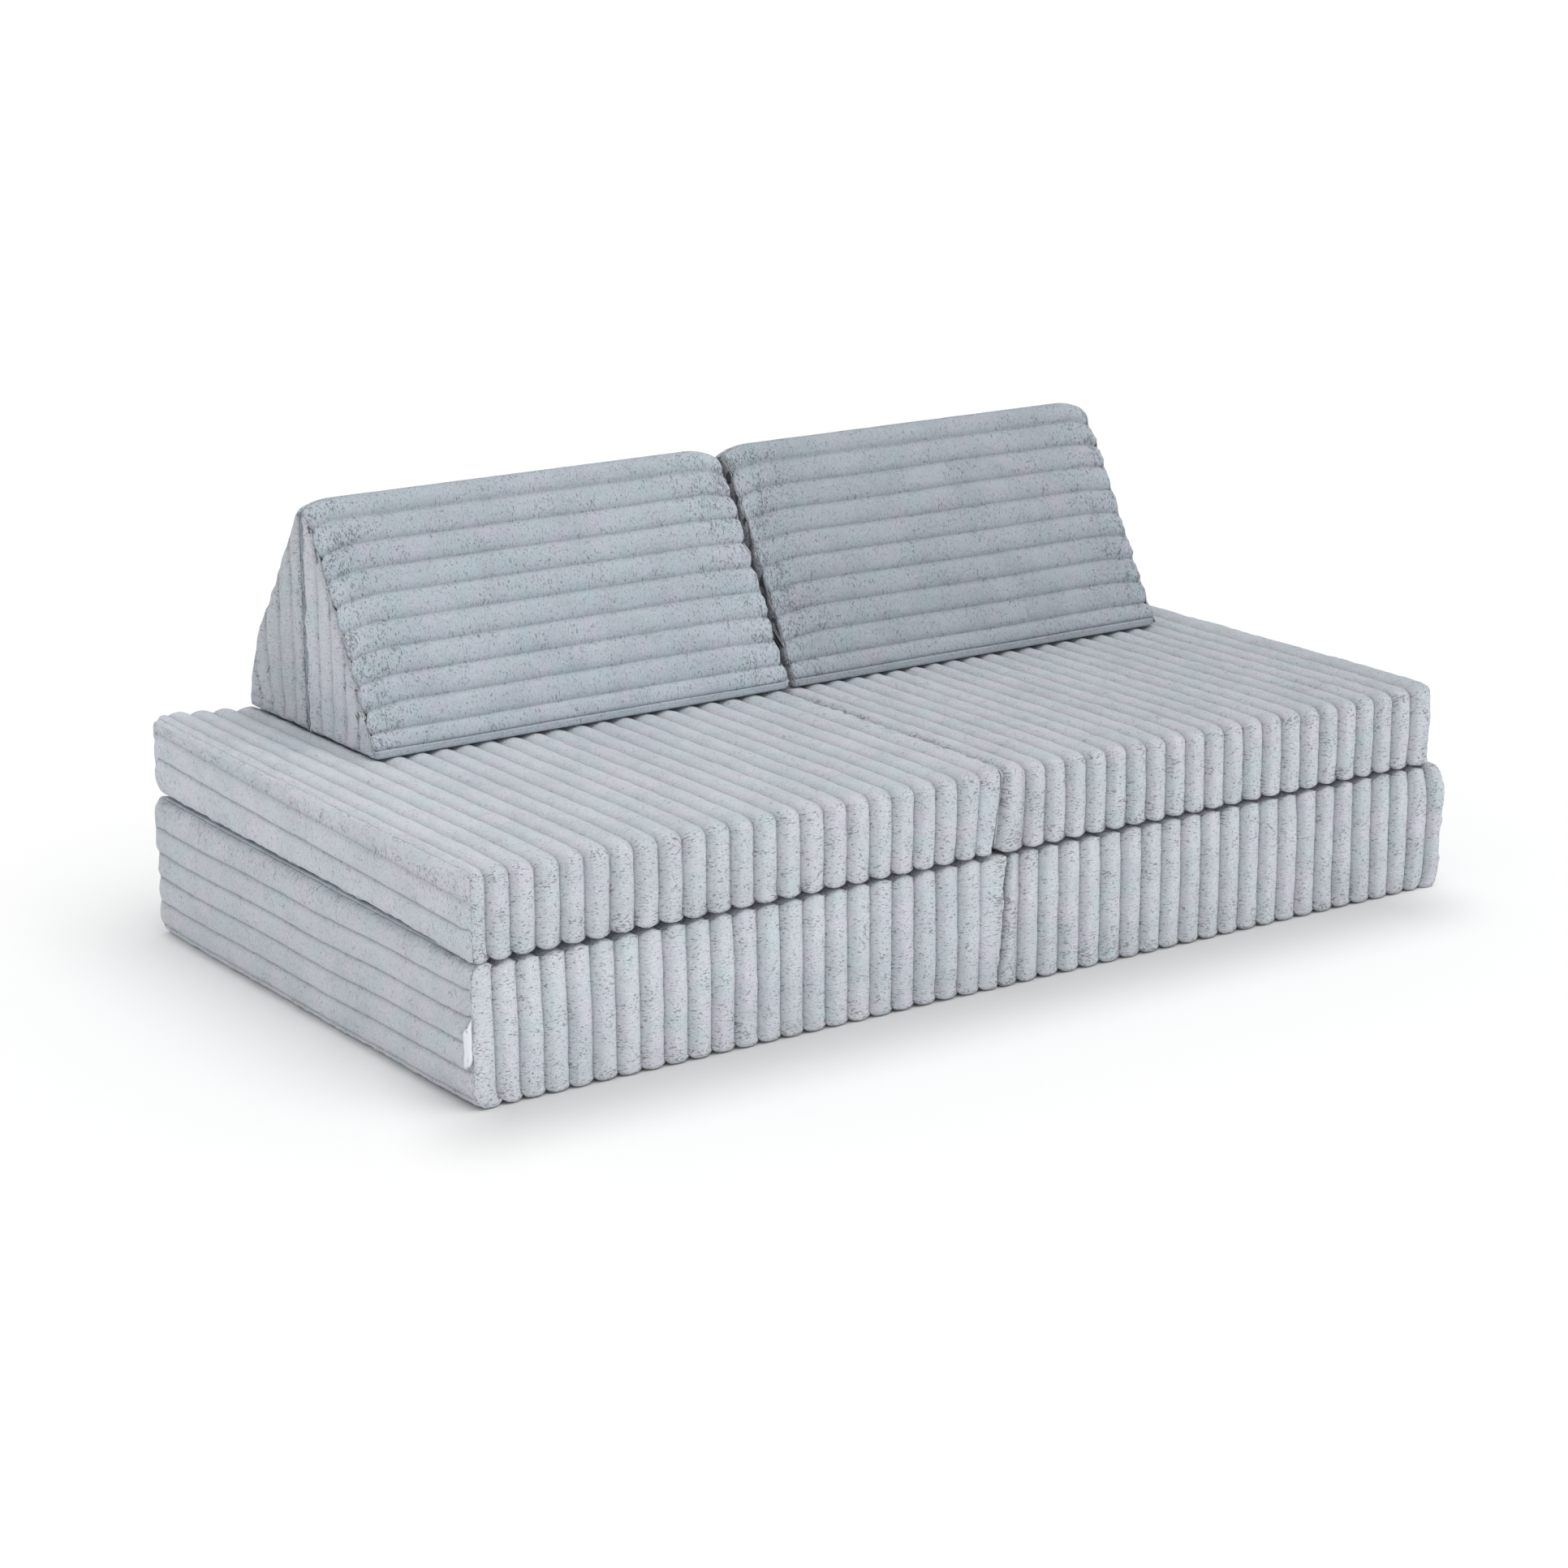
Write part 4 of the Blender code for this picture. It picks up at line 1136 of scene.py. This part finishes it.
def wedge_cover(wedge):
    low_x, high_x, way, seed = wedge.low_x, wedge.high_x, wedge.way, wedge.seed
    dense = even(0.0, DENSE_END, DENSE_STEP)
    inner = even(low_x + DENSE_END, high_x - DENSE_END, STEP)
    columns = np.concatenate([[low_x], low_x + dense, inner[1:-1], high_x - dense[::-1], [high_x]])
    bm, i, j = lay_grid(len(wedge_places), len(columns))
    place, out = wedge_outline.at(wedge_places)
    (u, z), (out_u, out_z), x = place[i].T, out[i].T, columns[j]
    v, deep, s = wedge_valleys[i], wedge_depths[i], wedge_places[i]
    outside = (deep > REAR_RIB_DEPTH).astype(float)
    height = rib_height(v, SOFT_ROLL)
    nearer_low = x - low_x < high_x - x
    to_end = np.minimum(x - low_x, high_x - x)
    way_x = np.where(nearer_low, -1.0, 1.0)
    if way > 0:
        deep = deep * ease(to_end, -0.004, 0.030)

    sink, move, own, over = roll(to_end, np.where(nearer_low, *wedge.rounds))
    seam = fading(to_end, WEDGE_SEAM_REACH)
    x_new = x - way_x * (move + wedge.notch * (1.0 - height) * outside * seam)
    slide = outside * droop(np.where(nearer_low, *wedge.dips), to_end, x, z, seed + 5)
    u, z = u + SLOPE_ALONG[0] * slide, z + SLOPE_ALONG[1] * slide
    spot = points_at(x_new, RIDGE_Y + way * (u - out_u * sink), WEDGE_FLOOR + z - out_z * sink)
    free = ease(to_end, 0.0, SEAM_CALM)
    drop = deep * (1.0 - height) * (1.0 + 0.12 * waves(spot, RIB_VARIETY, seed) * free)
    drop += WEDGE_SEAM_SINK * fading(to_end, SEAM_WIDTH)
    drop += tufts(spot, wedge.rough * seam, seed + 1) * (0.15 + 0.85 * outside) * (0.2 + 0.8 * calm(z))
    drop += outside * (free * calm(z) * sag(spot, *SLOPE_SAG, seed + 4) - swell(to_end, s, way))

    # The outermost column at each end turns in behind the panel.
    cap = (j == 0) | (j == len(columns) - 1)
    behind = PANEL_DEPTH + WEDGE_CAP_GAP
    inward = np.where(cap, WEDGE_CAP_INSET, sink + own * drop)
    x_new = np.clip(x_new - way_x * over * drop, low_x - wedge.fuzz[0], high_x + wedge.fuzz[1])
    x_new = np.where(cap, np.clip(x, low_x + behind, high_x - behind), x_new)
    u_new = np.maximum(u - out_u * inward + belly(u, z, way), 0.0)
    z_new = np.maximum(z - out_z * inward - ridge_fall(to_end, z), 0.0)
    points = points_at(x_new, RIDGE_Y + way * (WEDGE_GAP + u_new), WEDGE_FLOOR + z_new)

    crush = np.clip(seam + 0.60 * outside * (1.0 - ease(to_end, 0.02, 0.14)) + 0.22 * outside, 0.0, 1.2)
    # Painted light: each slope is painted darker towards its foot and a little lighter near its ends.
    tone = wedge.low_tone + (wedge.tone - wedge.low_tone) * ease(z, 0.05, WEDGE_HEIGHT)
    tone = tone * (1.0 + 0.10 * outside * bump(to_end, 0.030))
    # The painted groove shade is kept lighter on the slopes.
    rib = 1.0 - 0.72 * (1.0 - height) * outside
    lie = (s, x, 0.37 * seed)
    return sheet_object(bm, wedge.body + "_cover_plush", shaded_slope_plush, points, rib, crush, tone, lie)


for wedge in WEDGES:
    dress(wedge_cover(wedge), wedge.body, wedge.body + "_cover")

# %% [markdown]
# ## The end panels of the wedges
#
# Their ribs stand upright. Each column of the grid is a line from the floor of the wedge up to the slope,
# so the panel fills its triangle without a single cut. The nearest side of the triangle tells how the
# panel rolls over towards its seam.

# %% Wedge end panels
PANEL_RIB_DEPTH = 0.0046
PANEL_SAG = (0.0010, 0.14)
PANEL_SWAY = (0.0018, 0.12)
LINE_START = (
    RIDGE_ROUND * math.cos(math.radians(SLOPE_ANGLE)),
    WEDGE_HEIGHT - RIDGE_ROUND + RIDGE_ROUND * math.sin(math.radians(SLOPE_ANGLE)),
)
SLOPE_TILT = math.atan2(LINE_START[1] - TOE_TOP, WEDGE_DEPTH - LINE_START[0])


def slope_height(u):
    """Height of the slope over a distance from the ridge plane."""
    line = LINE_START[1] - (u - LINE_START[0]) * math.tan(SLOPE_TILT)
    ridge = WEDGE_HEIGHT - RIDGE_ROUND + np.sqrt(np.maximum(RIDGE_ROUND**2 - u**2, 0.0))
    return np.where(u < LINE_START[0], ridge, line)


def nearest_side(u, z):
    """Distance to the nearest side of the section, the direction out of it, and whether that side is
    the slope or the ridge."""
    slope_gap = (slope_height(u) - z) * math.cos(SLOPE_TILT)
    centre_z = WEDGE_HEIGHT - RIDGE_ROUND
    from_centre = np.hypot(u, z - centre_z)
    on_ridge = (z > centre_z) & (np.arctan2(z - centre_z, u) > math.radians(SLOPE_ANGLE))
    slope_gap = np.where(on_ridge, RIDGE_ROUND - from_centre, slope_gap)
    slope_u = np.where(on_ridge, u / np.maximum(from_centre, 0.001), math.sin(SLOPE_TILT))
    slope_z = np.where(on_ridge, (z - centre_z) / np.maximum(from_centre, 0.001), math.cos(SLOPE_TILT))
    gaps = np.stack([slope_gap, z, u])
    nearest = gaps.argmin(axis=0)
    out_u = np.choose(nearest, [slope_u, np.zeros(len(u)), -np.ones(len(u))])
    out_z = np.choose(nearest, [slope_z, -np.ones(len(u)), np.zeros(len(u))])
    return np.maximum(gaps.min(axis=0), 0.0), out_u, out_z, nearest == 0


def wedge_panel(wedge, label):
    side = ("left", "right").index(label)
    out, end_x = ((-1, wedge.low_x), (1, wedge.high_x))[side]
    way, seed, radius = wedge.way, wedge.seed, wedge.rounds[side]
    rows, valley = rib_places([*(RIB * k for k in range(5)), WEDGE_DEPTH - 0.0005])
    columns = (1.0 - np.cos(np.radians(even(0.0, 180.0, PANEL_TURN)))) / 2.0
    bm, i, j = lay_grid(len(rows), len(columns))
    u, v = rows[i], valley[i]
    z = slope_height(u) * columns[j]
    height = 0.5 * (rib_height(v, TIGHT_ROLL) + rib_height(v, LOW_WAVE))
    distance, out_u, out_z, sloping = nearest_side(u, z)
    sink, move, own, over = roll(distance, radius)
    along = crest + (u - LINE_START[0]) * SLOPE_ALONG[0] + (z - LINE_START[1]) * SLOPE_ALONG[1]
    along = along - droop(wedge.dips[side], 0.0, end_x, z, seed + 5)
    knob = np.where(sloping, 1.0 - rib_height(rib_valley(along), SOFT_ROLL), 0.0) * fading(distance, SEAM_REACH)
    knob = knob * wedge.knob
    x = end_x - out * (sink + wedge.notch * knob)
    u_new, z_new = u - out_u * move, z - out_z * move

    spot = points_at(x, RIDGE_Y + way * u_new, WEDGE_FLOOR + z_new)
    seam, corner = fading(distance, WEDGE_SEAM_REACH), ease(distance, 0.0, 0.008)
    drop = PANEL_RIB_DEPTH * (1.0 - height) * corner * (1.0 + 0.15 * waves(spot, 0.06, seed + 9))
    drop += WEDGE_SEAM_SINK * fading(distance, SEAM_WIDTH) + SLOPE_DEPTH * knob
    drop += tufts(spot, wedge.rough * seam, seed + 1) * (0.2 + 0.8 * calm(z))
    drop += sag(spot, *PANEL_SAG, seed + 10) * ease(distance, 0.0, 0.04)
    sway = layered(spot, [PANEL_SWAY], seed + 11) * ease(distance, 0.0, 0.02)
    x = out * np.clip(
        out * x - own * drop, out * end_x - (PANEL_DEPTH + 0.001), out * end_x + wedge.fuzz[side]
    )
    u_new = np.maximum(u_new - out_u * over * drop + sway + belly(u, z, way), 0.0)
    z_new = np.maximum(z_new - out_z * over * drop - ridge_fall(0.0, z), 0.0003)
    points = points_at(x, RIDGE_Y + way * (WEDGE_GAP + u_new), WEDGE_FLOOR + z_new)

    # Painted light: the outer end panels have their own level, which turns into the slope's near the seam; the
    # inner ones take the slope's.
    end_painted_light = wedge.end_painted_light if radius > INNER_ROUND else wedge.tone
    tone = end_painted_light + (wedge.tone - end_painted_light) * 0.85 * bump(distance, 0.009) * sloping
    rib, crush = 1.0 - (1.0 - height) * corner, np.clip(1.2 * seam + 0.15, 0.0, 1.0)
    lie = (u, z, 0.43 * seed + out)
    return sheet_object(bm, f"{wedge.body}_{label}_panel_plush", plush, points, rib, crush, tone, lie)


for wedge in WEDGES:
    for label in ("left", "right"):
        dress(wedge_panel(wedge, label), wedge.body, f"{wedge.body}_{label}_panel")
print("wedge end panels:", 2 * len(WEDGES))

# %% [markdown]
# ## The tapes in the ridge seams
#
# A woven tape joins the two wedges of a backrest along the ridge. It stops short of the rounded corners
# and waves a little, as a tape does between soft pieces.

# %% Ridge tapes


def ridge_tape(body):
    node = body + "_ridge_tape"
    low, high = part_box(node)
    bm = bmesh.new()
    bmesh.ops.create_grid(bm, x_segments=60, y_segments=4, size=0.5)
    for vert in bm.verts:
        along, across = vert.co.x, vert.co.y
        wave = 0.0004 * math.sin(55.0 * along) * (0.5 + across)
        vert.co = (
            (low[0] + high[0]) / 2 + along * (high[0] - low[0] - 0.05),
            RIDGE_Y + wave - 0.0003,
            low[2] + 0.0005 + (across + 0.5) * (high[2] - low[2] - 0.0008),
        )
    bmesh.ops.solidify(bm, geom=bm.faces[:], thickness=0.0006)
    return closed_object(bm, node + "_cloth", zip_tape_cloth)


for body in ("back_left", "back_right"):
    dress(ridge_tape(body), body + "_rear", body + "_ridge_tape")
print("ridge tapes: 2")

# %% [markdown]
# ## The blank tag
#
# A folded ribbon is sewn into the front left corner seam of the base. It leaves the seam, lies on the end
# panel round the rolled corner, turns back at its fold and returns to the seam. It carries no print.

# %% Tag
TAG_LOW, TAG_HIGH = 0.055, 0.122
TAG_LENGTH = 0.0135
TAG_OFF = 0.0042
TAG_BULGE = 0.0012


def make_tag():
    half = HALVES[0]
    reach = np.concatenate([even(0.0, TAG_LENGTH, 0.0020), even(TAG_LENGTH, 0.0, 0.0020)])
    turned = len(reach) // 2
    levels = even(0.0, 1.0, 0.10)
    bm, i, j = lay_grid(len(levels), len(reach))
    distance = reach[j]
    under = j < turned
    sink, move, own, over = roll(distance, half.radius(0.08))
    lowest = TAG_LOW + 0.012 * fading(distance, 0.004)
    height = lowest + (TAG_HIGH - 1.3 * distance - lowest) * levels[i]
    bulge = TAG_BULGE * (1.0 + np.sin(np.pi * distance / TAG_LENGTH))
    off = TAG_OFF + np.where(under, 0.0, bulge)
    off = off * ease(distance, -0.004, 0.006) + 0.0004 * np.sin(3.0 * np.pi * levels[i])
    x = -(half.end - sink + own * off - half.draw_in(-0.445, height))
    points = points_at(x, -HALF_DEPTH + distance + move - over * off, height)
    return sheet_object(bm, "blank_tag_ribbon", blank_ribbon, points, 1.0, 0.0, 1.0, (distance, height, 1.0))


dress(make_tag(), "base_left", "blank_tag")
print("tag from", TAG_LOW, "to", TAG_HIGH, "m high")

# %% [markdown]
# ## The foam blocks
#
# The foam is cut a little smaller than its cover, as the pile and the rolled seams take up room, and its
# edges are softened so that nothing shows in a fold.

# %% Foam blocks
FOAM_EASE = 0.010
FOAM_END = 0.034
FOAM_FOLD = 0.016
FOAM_RIDGE_BACK, FOAM_RIDGE_FRONT = 0.012, 0.020


def foam_block(body, wedge=None):
    node = body + "_foam"
    (low_x, low_y, low_z), (high_x, high_y, high_z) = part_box(node)
    side = -1 if low_x + high_x < 0 else 1
    bm = bmesh.new()
    bmesh.ops.create_cube(bm, size=1.0)
    for vert in bm.verts:
        outer = vert.co.x * side > 0
        x = low_x if vert.co.x < 0 else high_x
        y = low_y + FOAM_EASE if vert.co.y < 0 else high_y - FOAM_EASE
        z = low_z + FOAM_EASE if vert.co.z < 0 else high_z - FOAM_EASE
        inset = FOAM_END if outer or wedge else FOAM_FOLD
        if wedge and vert.co.z > 0:
            back = vert.co.y * wedge.way < 0
            y = RIDGE_Y + wedge.way * (FOAM_RIDGE_BACK if back else FOAM_RIDGE_FRONT)
        vert.co = (x - inset if vert.co.x > 0 else x + inset, y, z)
    bmesh.ops.bevel(bm, geom=bm.edges[:], offset=0.003, segments=2, profile=0.5, affect="EDGES")
    return closed_object(bm, node + "_block", foam)


for half in HALVES:
    dress(foam_block(half.body), half.body, half.body + "_foam")
for wedge in WEDGES:
    dress(foam_block(wedge.body, wedge), wedge.body, wedge.body + "_foam")
print("foam blocks:", len(HALVES) + len(WEDGES))

# %% [markdown]
# ## Finishes for the parts that keep their shape
#
# The tapes and the zips keep the frame's own shapes and only get their finishes.

# %% Finish the carried-over nodes


def refinish(node, material):
    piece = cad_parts[node]
    piece.data.materials.clear()
    piece.data.materials.append(material)


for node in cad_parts:
    if node.endswith(("_zip", "_fold_tape")):
        refinish(node, zip_tape_cloth)
    elif node.endswith("_slider"):
        refinish(node, zip_metal)
print("carried-over nodes refinished")

# %% [markdown]
# ## Floor, light and camera
#
# The photograph is a studio picture on white: light from everywhere, a little more of it from above and from
# the front, and a soft grey shadow where the base meets the floor. A white surround gives the even part. A very
# wide sun gives the rest, because a lamp at a distance would leave the far floor grey. The grey shadow round
# the base is painted shadow in the floor's colour. The camera stands in front of the left half and looks down
# by about sixteen degrees through a long lens.

# %% Floor
SHADE_LEFT, SHADE_RIGHT = -0.778, 0.68
SHADE_FRONT, SHADE_REAR = -0.47, 0.39
SHADE_TURN = 0.45
SHADE_REACH = 0.19


def make_floor():
    surface = Finish("studio floor", Roughness=0.9)
    place = surface.place()
    cloud = surface.noise(place, 2.0, 2.0)
    pale = surface.blend(cloud, grey(0.985), grey(0.995))
    x, y, _ = surface.apart(place)

    def beyond(first, second):
        return x.maths("MAXIMUM", x.maths("MAXIMUM", first, second), 0.0)

    # Painted shadow: the floor's colour turns grey over a band round the base's footprint, reaching further in
    # front than at the left end.
    aside = beyond((SHADE_LEFT - x) + (y - SHADE_FRONT) * SHADE_TURN, x - SHADE_RIGHT)
    ahead = beyond(SHADE_FRONT - y, y - SHADE_REAR)
    gap = (aside * aside + ahead * ahead) ** 0.5
    surface.feed("Base Color", surface.blend(surface.steps(gap, -0.03, SHADE_REACH), grey(0.66), pale))
    bm = bmesh.new()
    bmesh.ops.create_grid(bm, x_segments=8, y_segments=8, size=20.0)
    bmesh.ops.translate(bm, verts=bm.verts, vec=(0.0, 0.0, -0.0006))
    object_of(bm, "studio_floor", surface.material)


make_floor()
print("floor laid")

# %% Light


def make_world(ambient):
    world = bpy.data.worlds.new("studio")
    bpy.context.scene.world = world
    world.use_nodes = True
    tree = world.node_tree
    back = tree.nodes["Background"]
    back.inputs["Color"].default_value = grey(1.0)
    ray = tree.nodes.new("ShaderNodeLightPath")
    camera, glossy, through = (
        Wire(tree, ray.outputs[f"Is {kind} Ray"]) for kind in ("Camera", "Glossy", "Transmission")
    )
    seen = camera + glossy + through
    strength = seen.maths("MINIMUM", seen, 1.0) * (1.0 - ambient) + ambient
    tree.links.new(strength.socket, back.inputs["Strength"])


def add_sun(name, towards, power, width):
    lamp = bpy.data.lights.new(name, "SUN")
    lamp.energy = power
    lamp.angle = math.radians(width)
    place_in_scene(name, lamp).rotation_euler = Vector(towards).to_track_quat("Z", "Y").to_euler()


make_world(0.74)
add_sun("wide_sun", (0.05, -0.13, 0.27), 1.02, 50.0)

# %% Camera
CAMERA_PLACE = (-2.9710, -4.2495, 1.6343)
CAMERA_DOWN = 0.272
CAMERA_TURN = -0.603
CAMERA_ROLL = -0.006
CAMERA_SENSOR = 36.0
CAMERA_LENS = 4597.969 / 1932.0 * CAMERA_SENSOR


def add_camera():
    lens = bpy.data.cameras.new("camera")
    lens.lens = CAMERA_LENS
    lens.sensor_width = CAMERA_SENSOR
    lens.clip_end = 100.0
    piece = place_in_scene("camera", lens)
    forward = Vector((
        -math.sin(CAMERA_TURN) * math.cos(CAMERA_DOWN),
        math.cos(CAMERA_TURN) * math.cos(CAMERA_DOWN),
        -math.sin(CAMERA_DOWN),
    ))
    right = Vector((math.cos(CAMERA_TURN), math.sin(CAMERA_TURN), 0.0))
    up = right.cross(forward)
    rolled_right = right * math.cos(CAMERA_ROLL) + up * math.sin(CAMERA_ROLL)
    rolled_up = up * math.cos(CAMERA_ROLL) - right * math.sin(CAMERA_ROLL)
    turn = Matrix((rolled_right, rolled_up, -forward)).transposed()
    piece.matrix_world = Matrix.Translation(CAMERA_PLACE) @ turn.to_4x4()
    bpy.context.scene.camera = piece


add_camera()
bpy.context.scene.view_settings.view_transform = "Standard"
print("camera lens", round(CAMERA_LENS, 1), "mm")

# %% [markdown]
# ## The end of the scene

# %% Finish
print("the sofa is dressed")
